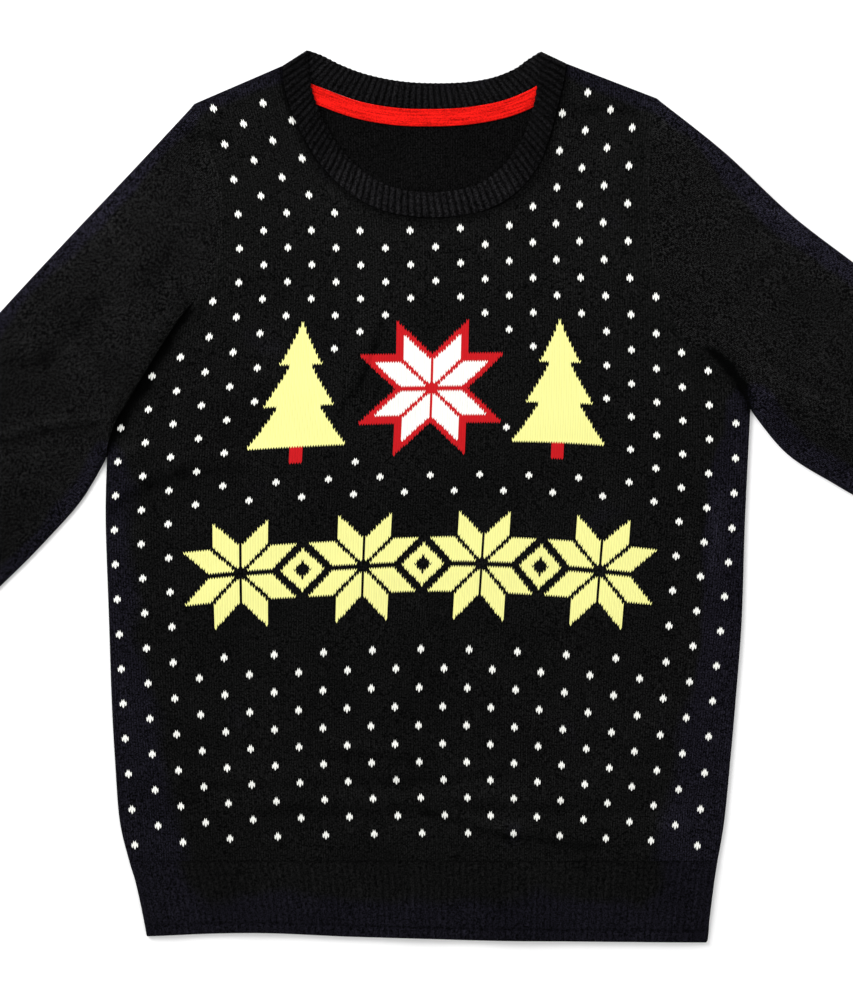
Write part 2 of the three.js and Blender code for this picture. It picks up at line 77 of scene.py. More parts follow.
# Armholes from the shoulder down: across, up, how far the sleeve laps over the front
ARMHOLE_LEFT = [(-173, 627, 0), (-166.5, 596, 0), (-159, 572, 0), (-155.5, 550, 0), (-155.5, 520, 0),
                (-161, 497, 0), (-172.5, 480, 0), (-186.5, 464, 1.6), (-200, 447, 3.4), (-213, 428, 4.4),
                (-226.5, 407, 5), (-236.5, 387, 4), (-239, 362, 0)]
ARMHOLE_RIGHT = [(172.5, 631, 0), (169.5, 610, 0), (168, 583, 0), (168.5, 552, 0), (169.5, 522, 0),
                 (174, 500, 0), (181, 475, 0), (192, 450, 0), (208.5, 437, 0), (224, 425.5, 0),
                 (236, 413, 0), (243, 397.5, 0)]

# The hem's lower edge: across, up
FOOT = [(-212, 3), (-132, 5.8), (-57, 3), (0, 1.5), (40, 0.2), (112, -0.6), (212, -1.5)]

# Neckband: seam across, seam up, free edge across, free edge up
BAND_FRONT = [(-107, 655.5, -89, 667), (-106.5, 642, -88, 649), (-101, 622.5, -84, 631.5),
              (-93, 604.5, -77, 613.5), (-79.5, 582, -66, 595), (-58.5, 561, -49, 577),
              (-31.5, 546.5, -26, 564), (3, 541.5, 1.5, 559.5), (39, 545.5, 34.5, 564),
              (64.5, 558, 55, 577), (82.5, 577.5, 69, 594), (91.5, 598.5, 77, 612),
              (98, 622.5, 82, 631.5), (103, 643.5, 84, 649.5), (105, 657, 86, 666)]
BAND_BACK = [(-107, 655.5, -89, 667), (-94, 646, -78, 663), (-75, 638, -64, 656), (-49.5, 629, -45, 649),
             (-23, 624.3, -21, 644), (3, 623.3, 3, 642.3), (29, 624.5, 29, 643), (55, 629, 50, 646.5),
             (76, 637, 66.5, 653), (93, 647, 76.5, 660), (105, 657, 86, 666)]

# Sleeves and cuffs: shoulder edge across and up, underarm edge across and up
SLEEVE_LEFT = [(-173, 627, -239, 362), (-220.5, 576, -258, 330), (-266, 528, -283, 301.5),
               (-312, 478.5, -310, 274), (-357, 428, -338, 249), (-447, 326, -400.5, 201),
               (-537, 225, -462, 154)]
SLEEVE_RIGHT = [(172.5, 631, 243, 397.5), (223, 591, 270, 365), (274.5, 543, 306, 342),
                (328, 502, 344, 320.5), (381, 460, 382, 300), (489, 377, 457, 257), (597, 295.5, 534, 214)]
CUFF_LEFT = [(-537.2, 224.8, -462.2, 153.8), (-542, 208, -475, 148), (-556, 190, -490, 131),
             (-572, 173, -507, 115)]
CUFF_RIGHT = [(597.3, 295.3, 534.3, 213.7), (606, 280, 551, 209), (623, 266.5, 568, 196),
              (641, 252.5, 587, 182)]

# Folds: from across and up, to across and up, spread to each side, rise, light gained or lost
FOLDS = [
    (-150, 106, 130, 112, 9, 1.4, 0.25), (-60, 84, 190, 90, 7, 1.1, 0.22),
    (-215, 128, -60, 122, 8, 0.8, 0.2), (20, 130, 205, 124, 8, 0.9, 0.16),
    (-120, 97, 100, 101, 5, -0.6, -0.3), (-180, 116, -20, 120, 4, -0.5, -0.25),
    (0, 96, 60, 78, 3, -0.7, -0.5), (60, 78, 128, 70, 3, -0.7, -0.5), (8, 101, 66, 85, 4, 0.7, 0.3),
    (-74, 141, -14, 137, 4, -0.6, -0.3), (-70, 148, -10, 144, 5, 0.6, 0.2),
    (-30, 118, 60, 126, 4, -0.5, -0.3), (-33.8, 461.3, -37.5, 444.8, 2, -0.7, -0.5),
    (-37.5, 444.8, -48, 420, 2, -0.8, -0.65), (-48, 420, -64.5, 396, 2.2, -0.7, -0.5),
    (-19.5, 514, -33.8, 461.3, 2.5, -0.4, -0.25), (-40, 466, -74, 394, 8, 0.8, 0.12),
    (-234, 363, -207, 373.5, 4, 1.3, 0.6), (-236, 324, -207, 341, 5, -0.8, -0.35),
    (-207, 341, -183, 351, 5, -0.8, -0.4), (-183, 351, -139, 353, 5, -0.7, -0.3),
    (-232, 338, -183, 360, 5, 1.2, 0.25), (-183, 360, -120, 364, 7, 0.9, 0.15),
    (-225, 300, -150, 318, 9, 0.9, 0.12), (218, 330, 215, 280, 5, 1.1, 0.35),
    (208, 325, 206, 285, 4, -0.5, -0.25), (97, 620, 155, 623, 4, -0.6, -0.35),
    (-178, 606, -148, 598, 4, -0.6, -0.45), (-179, 472, -197, 445, 6, -1.0, -0.95),
    (-197, 445, -212, 417, 6.5, -1.1, -0.95), (-212, 417, -229, 388, 6.5, -1.1, -0.95),
    (-229, 388, -240, 366, 5, -0.9, -0.9), (-176, 450, -222, 372, 9, 0.8, 0.12),
    (211, 442, 219, 437, 3.5, -0.9, -0.85), (219, 437, 228, 428, 4.5, -1.2, -0.95),
    (228, 428, 237, 415, 4.5, -1.2, -0.95), (237, 415, 243, 398, 4, -0.9, -0.9),
    (-319, 431, -286, 435, 6, -0.9, -0.35), (-286, 435, -244, 481, 6, -0.9, -0.35),
    (-268, 443, -251, 426, 3, 1.0, 0.4), (-251, 426, -246, 419, 3, 0.9, 0.35),
    (-262, 428, -241, 440, 3, 0.7, 0.25), (-330, 376, -286, 387, 3.2, 1.5, 0.45),
    (-286, 387, -246, 392, 3.2, 1.5, 0.45), (-330, 369, -286, 381, 3.5, -0.8, -0.4),
    (-286, 381, -246, 386, 3.5, -0.8, -0.4), (-330, 358, -261, 370, 5, 0.9, 0.2),
    (-330, 345, -262, 341, 4, 0.7, 0.2), (-214, 491, -193, 518, 9, -0.9, -0.3),
    (-236, 470, -215, 512, 8, 0.8, 0.12), (-300, 470, -236, 540, 14, 1.0, 0.1),
    (229, 550, 264, 543, 4, 1.5, 0.4), (264, 543, 283, 532, 4, 1.5, 0.4),
    (232, 541, 262, 533, 5, -0.8, -0.3), (236, 488, 262, 516, 3, -0.7, -0.35),
    (226, 494, 252, 524, 5, 0.6, 0.12), (248, 429, 283, 410, 5, 1.3, 0.3),
    (283, 410, 330, 392, 5, 1.3, 0.3), (264, 382, 330, 366, 7, -0.8, -0.35),
    (258, 400, 300, 388, 5, -0.6, -0.2), (280, 530, 330, 470, 14, 0.9, 0.2),
    (-405, 300, -440, 232, 12, 1.6, 0.2), (-470, 262, -482, 196, 10, 1.4, 0.2),
    (-380, 340, -372, 262, 8, -0.9, -0.25), (430, 396, 440, 300, 12, 1.5, 0.2),
    (520, 330, 530, 252, 10, 1.5, 0.2), (470, 372, 478, 300, 8, -0.9, -0.25),
]
FOLD_RISE, FOLD_LIGHT = 5, 6  # columns of the table
FOLD_FADE = 12

# Soft waves over all the cloth: direction, length, rise
WAVES = [(0.4, 61, 0.28), (1.7, 47, 0.26), (2.6, 83, 0.34), (1.1, 29, 0.1)]
WAVE_FADE = 30

# Dots of the front, read in the ruled picture: each row's course, then wale, picture across and down
DOT_ROWS = [
    (-240, [(-100, 136, 844), (-80, 184, 842), (-60, 230, 837), (-20, 326, 834), (20, 423, 832),
            (60, 513, 832), (100, 606, 838), (120, 650, 838), (140, 696, 846)]),
    (-180, [(-100, 125, 738), (-80, 178, 733), (-60, 226, 732), (-20, 323, 728), (20, 418, 725),
            (60, 514, 727), (100, 611, 732), (120, 660, 735), (140, 708, 735)]),
    (-120, [(-100, 120, 635), (-80, 173, 626), (-60, 224, 620), (-20, 325, 615), (20, 423, 610),
            (80, 568, 617), (120, 668, 625), (140, 720, 631)]),
    (-60, [(-100, 114, 530), (-80, 169, 524), (-20, 327, 512), (40, 478, 506), (80, 576, 510),
           (120, 678, 521), (140, 732, 529)]),
    (0, [(-100, 122, 428), (-80, 173, 424), (-40, 280, 417), (0, 384, 413), (40, 482, 412),
         (80, 581, 413), (120, 682, 421), (140, 736, 423)]),
    (40, [(-80, 181, 359), (0, 385, 348), (80, 582, 348), (120, 680, 354)]),
    (60, [(-60, 236, 317), (-20, 335, 316), (40, 485, 313), (80, 581, 314)]),
    (70, [(-70, 215, 301), (110, 656, 297)]),
    (110, [(-50, 264, 231), (-30, 311, 231), (10, 410, 232), (50, 510, 226), (70, 555, 224),
           (90, 602, 223)]),
    (130, [(-30, 310, 196), (70, 556, 188)]),
    (140, [(-60, 236, 180), (-40, 283, 178), (80, 582, 169), (100, 627, 167)]),
    (160, [(-60, 227, 146), (-40, 273, 142), (80, 585, 131), (100, 631, 128)]),
    (170, [(-50, 244, 124), (-30, 290, 121), (70, 563, 115), (90, 611, 110)]),
    (180, [(-60, 212, 110), (-40, 263, 103), (80, 588, 93)]),
]
PICTURE_FOOT = (426, 940)  # the picture's place of the tables' origin
PICTURE_STEP = 0.75  # millimetres
LAY_REACH = 240
READING_SLACK = 0.03  # how little the map follows each single reading
WALE = 1.86
COURSE = 1.3
FINE_WALE = 1.25  # the plain knitting of the sleeves
FINE_COURSE = 0.95

SOLIDS_MIDDLE = 332.757  # up from the hem
ORIGIN = np.array([(CUFF_LEFT[-1][0] + CUFF_RIGHT[-1][0]) / 2, SOLIDS_MIDDLE, 0])


def smooth_through(points, step):
    """Places on a smooth curve through points, at steps from 0 to 1."""
    last = len(points) - 1
    place = np.clip(np.asarray(step, float), 0, 1) * last
    low = np.minimum(place.astype(int), last - 1)
    part = (place - low)[..., None]
    before, start, end, after = (points[np.clip(low + k, 0, last)] for k in (-1, 0, 1, 2))
    leave, arrive = (end - before) / 2, (after - start) / 2
    cubic = 2 * start - 2 * end + leave + arrive
    square = -3 * start + 3 * end - 2 * leave - arrive
    return cubic * part**3 + square * part**2 + leave * part + start


class Line:
    """A smooth curve through points, read by its own steps or by its length."""

    def __init__(self, points):
        self.points = np.array(points, float)
        self.steps = np.linspace(0, 1, 601)
        places = self.point(self.steps)
        runs = np.hypot(*(places[1:] - places[:-1]).T)
        self.run = np.concatenate([[0], np.cumsum(runs)])

    def point(self, step):
        return smooth_through(self.points, step)

    def step(self, share):
        return np.interp(np.asarray(share, float) * self.run[-1], self.run, self.steps)

    def at(self, share):
        return self.point(self.step(share))

    def left_of(self, share):
        share = np.asarray(share, float)
        along = self.at(np.minimum(share + 0.002, 1)) - self.at(np.maximum(share - 0.002, 0))
        along /= np.maximum(np.hypot(along[..., 0], along[..., 1]), 1e-9)[..., None]
        return np.stack([-along[..., 1], along[..., 0]], -1)


def columns_of(rows, first):
    return [row[first:first + 2] for row in rows]


OUTLINE = [Line(rows).point(np.linspace(0, 1, 61)) for rows in (SIDE_LEFT, SIDE_RIGHT)]
OUTLINE += [Line(columns_of(rows, first)).point(np.linspace(0, 1, 41))
            for rows in (SLEEVE_LEFT, SLEEVE_RIGHT, CUFF_LEFT, CUFF_RIGHT) for first in (0, 2)]
SHOULDERS = [np.array([(-173, 627), (-107, 655.5)]), np.array([(172.5, 631), (105, 657)])]
OUTLINE += SHOULDERS


def away(place, start, end):
    along = end - start
    share = np.clip(((place - start) @ along) / (along @ along), 0, 1)
    return np.linalg.norm(place - start - share[..., None] * along, axis=-1)


def from_lines(place, lines):
    nearest = np.full(place.shape[:-1], 1e9)
    for line in lines:
        for start, end in zip(line[:-1], line[1:]):
            nearest = np.minimum(nearest, away(place, start, end))
    return nearest


def from_outline(place):
    return from_lines(place, OUTLINE)


def folds_at(place, column):
    """The folds' share in one of the table's columns, as a sum at each place."""
    total = 0
    for row in FOLDS:
        far = away(place, np.array(row[:2], float), np.array(row[2:4], float))
        total = total + row[column] * np.exp(-((far / row[4]) ** 2))
    return total


def rise(place, edge):
    """How far the top layer stands above its lowest place: its loft, with the folds on it."""
    height = LOFT * (1 - np.exp(-edge / LOFT_REACH))
    height = height + folds_at(place, FOLD_RISE) * np.minimum(1, edge / FOLD_FADE)
    for turn, wave, lift in WAVES:
        along = place[..., 0] * math.cos(turn) + place[..., 1] * math.sin(turn)
        swell = np.sin(2 * math.pi * along / wave + 5 * turn)
        height = height + lift * swell * np.minimum(1, edge / WAVE_FADE)
    return np.maximum(0, height)


def tones_of(place, edge):
    """The painted light and shade on the cloth: brighter higher up and to the right, lighter on the folds'
    ridges and darker in their valleys, a little lighter where the body looks blue; and how blue it looks near
    its edges, most at the body's sides.
    """
    across, up = place[..., 0], place[..., 1]
    lit = 0.84 + 0.26 * np.clip((up - 340) / 200, 0, 1) + 0.1 * np.clip(across / 250, -0.6, 1)
    light = np.clip(1 + folds_at(place, FOLD_LIGHT), 0.04, 1.9) * lit
    body = np.clip((260 - np.abs(across)) / 20, 0, 1) * np.clip((380 - up) / 40, 0, 1)
    low = np.clip((230 - up) / 130, 0, 1)
    right = np.clip((across - 200) / 20, 0, 1)
    reach = 16 + 8 * right + body * (15 + 14 * right + 28 * low)
    blue = np.clip((reach - edge) / (12 + 14 * body), 0, 1)
    light = light * (1 + 0.16 * body * blue)
    return np.stack(np.broadcast_arrays(light, blue), -1)


def rolled(edge):
    return np.sqrt(np.maximum(0, 1 - (1 - np.minimum(1, edge / ROUND)) ** 2))


def raised(place, height):
    return np.concatenate([place, np.broadcast_to(height, place.shape[:-1])[..., None]], -1)


def bends(place, dots):
    """A thin plate's bend at places, from each dot."""
    far = np.linalg.norm(place[..., None, :] - dots, axis=-1)
    return far**2 * np.log(np.maximum(far, 1e-9))


def levels(place):
    return np.concatenate([np.ones(place.shape[:-1] + (1,)), place], -1)


def lay(place):
    """Wales and courses at places on the front, as smooth as a thin plate through the dots that were read."""
    read = np.array([(*dot, course) for course, row in DOT_ROWS for dot in row], float)
    dots = (read[:, 1:3] - PICTURE_FOOT) * (PICTURE_STEP, -PICTURE_STEP) / LAY_REACH
    count = len(dots)
    plate = np.zeros((count + 3, count + 3))
    plate[:count, :count] = bends(dots, dots) + READING_SLACK * np.eye(count)
    plate[:count, count:] = levels(dots)
    plate[count:, :count] = levels(dots).T
    stitches = np.zeros((count + 3, 2))
    stitches[:count] = read[:, [0, 3]]
    pulls = np.linalg.solve(plate, stitches)
    place = place / LAY_REACH
    return bends(place, dots) @ pulls[:count] + levels(place) @ pulls[count:]


def even_lay(place):
    return np.stack([place[..., 0] / WALE, place[..., 1] / COURSE], -1)


# Meshes
def cloth_piece(name, points, stitches, wall, tones=(1, 0), around=False, flip=False, angle=50):
    """A shell of cloth on a grid of outer points, in millimetres, with its stitches as its UV map.
    A grid that goes round both ways is closed already and takes no wall."""
    rows, columns = points.shape[:2]
    bpy.ops.object.select_all(action="DESELECT")
    bpy.ops.mesh.primitive_grid_add(x_subdivisions=columns - 1, y_subdivisions=rows - 1, size=1)
    piece = bpy.context.object
    piece.name = name
    piece.data.name = name
    mesh = piece.data
    if len(mesh.vertices) != rows * columns:
        raise RuntimeError(f"{name}: the grid has {len(mesh.vertices)} points, not {rows * columns}")
    places = (points - ORIGIN).reshape(-1, 3) / 1000
    mesh.vertices.foreach_set("co", places.astype(np.float32).ravel())
    corner = np.empty(len(mesh.loops), np.int32)
    mesh.loops.foreach_get("vertex_index", corner)
    mesh.uv_layers[0].data.foreach_set("uv", stitches.reshape(-1, 2)[corner].astype(np.float32).ravel())
    mesh.uv_layers[0].name = "stitches"
    tones = np.broadcast_to(tones, points.shape[:2] + np.shape(tones)[-1:]).reshape(len(places), -1)
    for attribute, values in zip(("light", "blue", "whole"), tones.T.astype(np.float32)):
        mesh.attributes.new(attribute, "FLOAT", "POINT").data.foreach_set("value", values.copy())
    bpy.ops.object.mode_set(mode="EDIT")
    bpy.ops.mesh.select_all(action="SELECT")
    if around:
        bpy.ops.mesh.remove_doubles(threshold=1e-6)
    if flip:
        bpy.ops.mesh.flip_normals()
    bpy.ops.object.mode_set(mode="OBJECT")
    if wall:
        shell = piece.modifiers.new("wall", "SOLIDIFY")
        shell.thickness = wall / 1000
        shell.offset = -1
        shell.use_even_offset = False
        bpy.ops.object.modifier_apply(modifier=shell.name)
    bpy.ops.object.shade_smooth_by_angle(angle=math.radians(angle))
    return piece


def area_of(piece):
    """The area of one face of a closed shell, in square metres."""
    mesh = piece.data
    sizes = np.empty(len(mesh.polygons))
    mesh.polygons.foreach_get("area", sizes)
    return float(sizes.sum() / 2)


# Flat sizes in metres: width, height
PANEL_FLAT = (0.49, 0.60)
SLEEVE_FLAT = (0.40, 0.58)
HEM_FLAT = (0.45, 0.062)
CUFF_FLAT = (0.20, 0.062)
BAND_FLAT = (0.60, 0.021)
TAPE_FLAT = (0.20, 0.0135)


def dress(piece, node, material, flat):
    piece.data.materials.clear()
    piece.data.materials.append(material)
    area = min(area_of(piece), flat[0] * flat[1])
    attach(piece, "root")
    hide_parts(node)


# Panels
NECK_FROM = 0.1
NECK_TO = 0.9
NECK_LATE = 6  # how late the columns lean over to meet the neck


def shares(*runs):
    """Rising shares from (from, to, steps) runs."""
    parts = [np.linspace(start, end, steps, endpoint=False) for start, end, steps in runs]
    return np.concatenate(parts + [[runs[-1][1]]])


def panel_plan(neck_rows, neck_gap, side_steps, armhole_steps, columns):
    def boundary(side_rows, armhole_rows):
        side = Line(side_rows[3:])
        armhole = Line(columns_of(armhole_rows[::-1], 0))
        return np.concatenate([side.at(side_steps), armhole.at(armhole_steps[1:])])

    left = boundary(SIDE_LEFT, ARMHOLE_LEFT)
    right = boundary(SIDE_RIGHT, ARMHOLE_RIGHT)
    rows = np.array(neck_rows, float)
    out = rows[:, :2] - rows[:, 2:]
    out /= np.linalg.norm(out, axis=1)[:, None]
    neck = Line(rows[:, :2] + neck_gap * out)
    ends = neck.point(0), neck.point(1)
    share = columns[:, None]
    top = np.where(
        share < NECK_FROM,
        left[-1] + (ends[0] - left[-1]) * share / NECK_FROM,
        np.where(
            share > NECK_TO,
            ends[1] + (right[-1] - ends[1]) * (share - NECK_TO) / (1 - NECK_TO),
            neck.at((columns - NECK_FROM) / (NECK_TO - NECK_FROM)),
        ),
    )
    height = left[:, 1] + right[:, 1]
    part = ((height - height[0]) / (height[-1] - height[0]))[:, None, None]
    straight = left[-1] + (right[-1] - left[-1]) * share
    across = left[:, None] + (right - left)[:, None] * share
    return across + np.concatenate([part**NECK_LATE, part], -1) * (top - straight)[None]


PANEL_COLUMNS = shares((0, 0.0045, 5), (0.0045, NECK_FROM, 20), (NECK_FROM, NECK_TO, 126),
                       (NECK_TO, 0.9955, 20), (0.9955, 1, 5))
SIDE_STEPS = shares((0, 1, 110))
ARMHOLE_STEPS = shares((0, 0.988, 84), (0.988, 1, 5))


def from_neck(plan):
    return from_lines(plan, [Line(columns_of(BAND_FRONT, 0)).point(np.linspace(0, 1, 81))])


def from_arms(plan):
    return from_lines(plan, [Line(columns_of(rows, 0)).point(np.linspace(0, 1, 61))
                             for rows in (ARMHOLE_LEFT, ARMHOLE_RIGHT)])


def ridge(far, middle, spread):
    return np.exp(-(((far - middle) / spread) ** 2))


def seam_ridge(plan):
    """The cloth turned under at the neck, and less so at the armholes, lifts the front beside its seams."""
    neck, arms = from_neck(plan), from_arms(plan)
    turned = 0.75 * ridge(neck, 3.2, 2.2) - 0.5 * ridge(neck, 0, 1.1)
    return turned + 0.3 * ridge(arms, 3, 2) - 0.1 * ridge(arms, 0, 0.9)


def seam_light(plan):
    """The armholes' linking, high up, gets a painted highlight along its ridge, uneven along its length, and
    the neck's seam lies in painted shade.
    """
    highlight_unevenness = 0.55 + 0.45 * np.sin(plan[..., 1] * 0.9) * np.sin(plan[..., 1] * 0.37)
    high = np.clip((plan[..., 1] - 455) / 30, 0, 1)
    armhole_highlight = 1 + 0.9 * highlight_unevenness * high * ridge(from_arms(plan), 1.6, 1.3)
    return armhole_highlight * (1 - 0.6 * ridge(from_neck(plan), 0.4, 4))


DROP = 10  # stitches from one row or column of dots to the next
NECK_CLEAR, SIDE_CLEAR, SHOULDER_CLEAR = 2.2, 5, 8.5  # how far a whole dot's middle keeps off


def whole_dots(plan):
    """1 where a place's dot lies whole on the front, 0 where its neck, armholes or shoulders would cut it."""
    wales, courses = np.moveaxis(lay(plan), -1, 0)
    band = np.floor((courses + DROP / 2) / DROP)
    aside = (wales + DROP * band + DROP) % (2 * DROP) - DROP
    off = np.stack([-aside, DROP * band - courses], -1)
    turn = np.stack([lay(plan + step) - lay(plan) for step in np.eye(2)], -1)
    middle = plan + np.linalg.solve(turn, off[..., None])[..., 0]
    edge = np.minimum(from_arms(middle), from_lines(middle, OUTLINE[:2]))
    whole = (from_neck(middle) > NECK_CLEAR) & (edge > SIDE_CLEAR)
    whole &= from_lines(middle, SHOULDERS) > SHOULDER_CLEAR
    return whole.astype(float)[..., None]


def front_cloth():
    plan = panel_plan(BAND_FRONT, GAP, SIDE_STEPS, ARMHOLE_STEPS, PANEL_COLUMNS)
    edge = from_outline(plan)
    height = FRONT_LOW + rise(plan, edge) + SKIN + (WALL - SKIN) * rolled(edge)
    height = height + seam_ridge(plan) * rolled(edge)
    tones = tones_of(plan, edge)
    tones[..., 0] *= seam_light(plan)
    tones = np.concatenate([tones, whole_dots(plan)], -1)
    return cloth_piece("front_cloth", raised(plan, height), lay(plan), CLOTH_WALL, tones)


def back_cloth():
    plan = panel_plan(BAND_BACK, GAP, SIDE_STEPS[::4], ARMHOLE_STEPS, PANEL_COLUMNS)
    height = (WALL - SKIN) * (1 - rolled(from_outline(plan)))
    return cloth_piece("back_cloth", raised(plan, height), even_lay(plan), CLOTH_WALL, flip=True)


# Ribs: rounded ridges with narrow grooves
def ribs(count, share):
    return np.abs(np.sin(math.pi * count * share)) ** 0.7


def hem_plan(columns, heights):
    def across(rows):
        line = Line(rows[:5]).point(np.linspace(0, 1, 400))
        return np.interp(heights, line[:, 1], line[:, 0])

    left, right = across(SIDE_LEFT), across(SIDE_RIGHT)
    spread = left[:, None] + (right - left)[:, None] * columns[None]
    foot = np.interp(spread, *Line(FOOT).point(np.linspace(0, 1, 200)).T)
    return np.stack([spread, heights[:, None] + foot * (1 - heights[:, None] / HEM_HEIGHT)], -1)


HEM_RIBS = 89
CUFF_RIBS = 19
RIB_WALES = 3  # wales to a rib
HEM_STITCHING = 9  # how high the hem's row of stitches runs
HEM_HEIGHTS = np.array([0, 0.25, 0.8, 1.6, 3, 5, 7, 8.2, 9, 9.8, 11, 14, 22, 30, 38, 46, 53, 57.5, 59,
                        HEM_HEIGHT - GAP])


def front_hem_cloth(sizes):
    columns = shares((0, 0.004, 6), (0.004, 0.996, HEM_RIBS * 7), (0.996, 1, 6))
    plan = hem_plan(columns, HEM_HEIGHTS)
    edge = from_outline(plan)
    above = HEM_HEIGHTS[:, None]
    foot = rolled(above * 0.9)
    stitched = 1 - 0.55 * ridge(above, HEM_STITCHING, 0.9)
    rib = sizes.rib_depth * 1000 * ribs(HEM_RIBS, columns)[None] * rolled(edge) * foot * stitched
    full = RIB_WALL - 0.15 + rib - 0.25 * (1 - stitched)
    height = FRONT_LOW + rise(plan, edge) + SKIN + full * foot * rolled(edge)
    stitches = np.stack(np.broadcast_arrays(columns[None] * HEM_RIBS * RIB_WALES, plan[..., 1] / COURSE), -1)
    blue = np.clip((52 - edge) / 26, 0, 1) + np.clip((42 - above) / 24, 0, 1)
    # Painted shade in the groove of the hem's row of stitches and along its seam with the front
    light = 1 - 0.45 * ridge(above, HEM_STITCHING, 0.9) - 0.35 * ridge(above, HEM_HEIGHT, 1.2)
    tones = np.stack(np.broadcast_arrays(light, np.minimum(1, blue)), -1)
    return cloth_piece("front_hem_cloth", raised(plan, height), stitches, CLOTH_WALL, tones)


def back_hem_cloth():
    plan = hem_plan(shares((0, 0.004, 6), (0.004, 0.996, 40), (0.996, 1, 6)), HEM_HEIGHTS)
    edge = from_outline(plan)
    foot = rolled(HEM_HEIGHTS[:, None])
    height = (WALL - SKIN) * (1 - rolled(edge) * foot)
    return cloth_piece("back_hem_cloth", raised(plan, height), even_lay(plan), CLOTH_WALL, flip=True)


# Tubes: rings over the top and back underneath, whose ends are the folded edges
LIP_ROWS = [(0.12, 1, 1), (0.3, 0.96, 1), (0.55, 0.88, 1), (0.75, 0.77, 1), (0.9, 0.62, 1),
            (1.2, 0.35, 1), (1.6, 0.05, 1), (2.0, 0, 0.98), (2.4, 0, 0.95)]
LIP_ROLL = (0.25, 0.62, 0.84, 0.96)
SEAM_CLEAR = (3, 30)  # how far the first rows keep off the seam, and how fast that grows
STRAIGHT_FROM = 0.375
SLEEVE_LIGHT = 1.22


def sleeve_cloth(name, armhole_rows, sleeve_rows, side):
    armhole = Line(columns_of(armhole_rows, 0))
    laps = Line([(k, row[2]) for k, row in enumerate(armhole_rows)])
    upper, lower = Line(columns_of(sleeve_rows, 0)), Line(columns_of(sleeve_rows, 2))
    share = shares((0, 0.012, 6), (0.012, 0.988, 90), (0.988, 1, 6))
    start, to_body = armhole.at(share), armhole.left_of(share) * side
    lap = np.maximum(0, laps.point(armhole.step(share))[:, 1])
    lift = np.clip(lap / 0.8, 0, 1)
    lap = np.maximum(0, lap - 0.8) * (1 + 0.8 / 9)
    inner = np.minimum(1, 12 * share * (1 - share))

    def section(t):
        top, low = upper.point(t), lower.point(t)
        return top + (low - top) * share[:, None]

    def between(t):
        part = t / STRAIGHT_FROM
        clear = (SEAM_CLEAR[0] + SEAM_CLEAR[1] * part) * (1 - part) ** 2 * inner
        place = start + (section(STRAIGHT_FROM) - start) * part - to_body * clear[:, None]
        for edge, weight in ((upper, 1 - share), (lower, share)):
            straight = edge.point(0) + (edge.point(STRAIGHT_FROM) - edge.point(0)) * part
            place = place + (edge.point(t) - straight) * weight[:, None]
        return place

    def layer(lapped):
        rows = []
        for past, over, up in LIP_ROWS:
            aside = lapped * lap * over - 0.12 - (past - 0.12) * np.minimum(1, 0.2 + inner)
            rows.append(np.column_stack([start + to_body * aside[:, None], lift * up]))
        for t in np.concatenate([[0.02, 0.03], np.linspace(0.04, 0.9985, 110)]):
            place = between(t) if t < STRAIGHT_FROM else section(t)
            rows.append(np.column_stack([place, lift * 0.93 * math.exp(-t / 0.08)]))
        return np.array(rows)

    over, under = layer(1), layer(0)
    inside = np.minimum(share, 1 - share)
    edge_share = rolled(inside * 105)[None]
    edge = from_outline(over[..., :2])
    full = FRONT_HIGH + rise(over[..., :2], edge) + over[..., 2] * (LIP_LIFT + LIP_WALL)
    roll = np.ones(len(over))
    roll[:len(LIP_ROLL)] = LIP_ROLL
    full -= (1 - roll)[:, None] * lift[None] * 2.4
    top = raised(over[..., :2], MIDDLE + (full - MIDDLE) * edge_share)
    bottom = raised(under[..., :2], MIDDLE - MIDDLE * edge_share)
    grid = ring_of(top, bottom)
    ends = [(upper.point(t) + lower.point(t)) / 2 for t in (0.3, 1)]
    axis = (ends[1] - ends[0]) / np.linalg.norm(ends[1] - ends[0])
    turned = np.stack([grid[..., 0] * axis[1] - grid[..., 1] * axis[0], grid[..., :2] @ axis], -1)
    stitches = turned / (FINE_WALE, FINE_COURSE)
    tones = tones_of(grid[..., :2], from_outline(grid[..., :2]))
    # Painted light: the sleeves brighter than the body, and the lip over the armpits' painted shade keeps its
    # full light
    tones[..., 0] *= SLEEVE_LIGHT
    covered = ridge(from_arms(grid[..., :2]), 0, 7) * np.clip(grid[..., 2] - FRONT_HIGH - 1.8, 0, 1)
    tones[..., 0] += (1 - tones[..., 0]) * covered
    return cloth_piece(name, grid, stitches, CLOTH_WALL, tones, around=True, flip=side > 0)


def ring_of(top, bottom):
    """Rings over a top layer and back under a bottom one, closed on themselves."""
    return np.concatenate([top, bottom[:, -2:0:-1], top[:, :1]], 1)


def cuff_cloth(name, rows, side, sizes):
    upper, lower = Line(columns_of(rows, 0)), Line(columns_of(rows, 2))
    share = shares((0, 0.03, 5), (0.03, 0.97, CUFF_RIBS * 8), (0.97, 1, 5))
    steps = np.concatenate([[0.002, 0.01], np.linspace(0.05, 0.95, 10), [0.975, 0.99, 1]])
    top_line, low_line = upper.point(steps)[:, None], lower.point(steps)[:, None]
    plan = top_line + (low_line - top_line) * share[None, :, None]
    edge_share = rolled(np.minimum(share, 1 - share) * 70)[None]
    mouth = np.interp(steps, [0, 0.975, 0.99, 1], [1, 1, 0.85, 0.5])[:, None]
    rib = sizes.rib_depth * 1000 * ribs(CUFF_RIBS, share)[None]
    top = raised(plan, MIDDLE + (RIB_WALL + 0.6 + rib) * edge_share * mouth)
    bottom = raised(plan, MIDDLE - MIDDLE * edge_share)
    grid = ring_of(top, bottom)
    wales = np.concatenate([share, 2 - share[-2:0:-1], [2]]) * CUFF_RIBS * RIB_WALES
    stitches = np.stack(np.broadcast_arrays(wales[None], steps[:, None] * HEM_HEIGHT / COURSE), -1)
    return cloth_piece(name, grid, stitches, CLOTH_WALL, around=True, flip=side > 0)


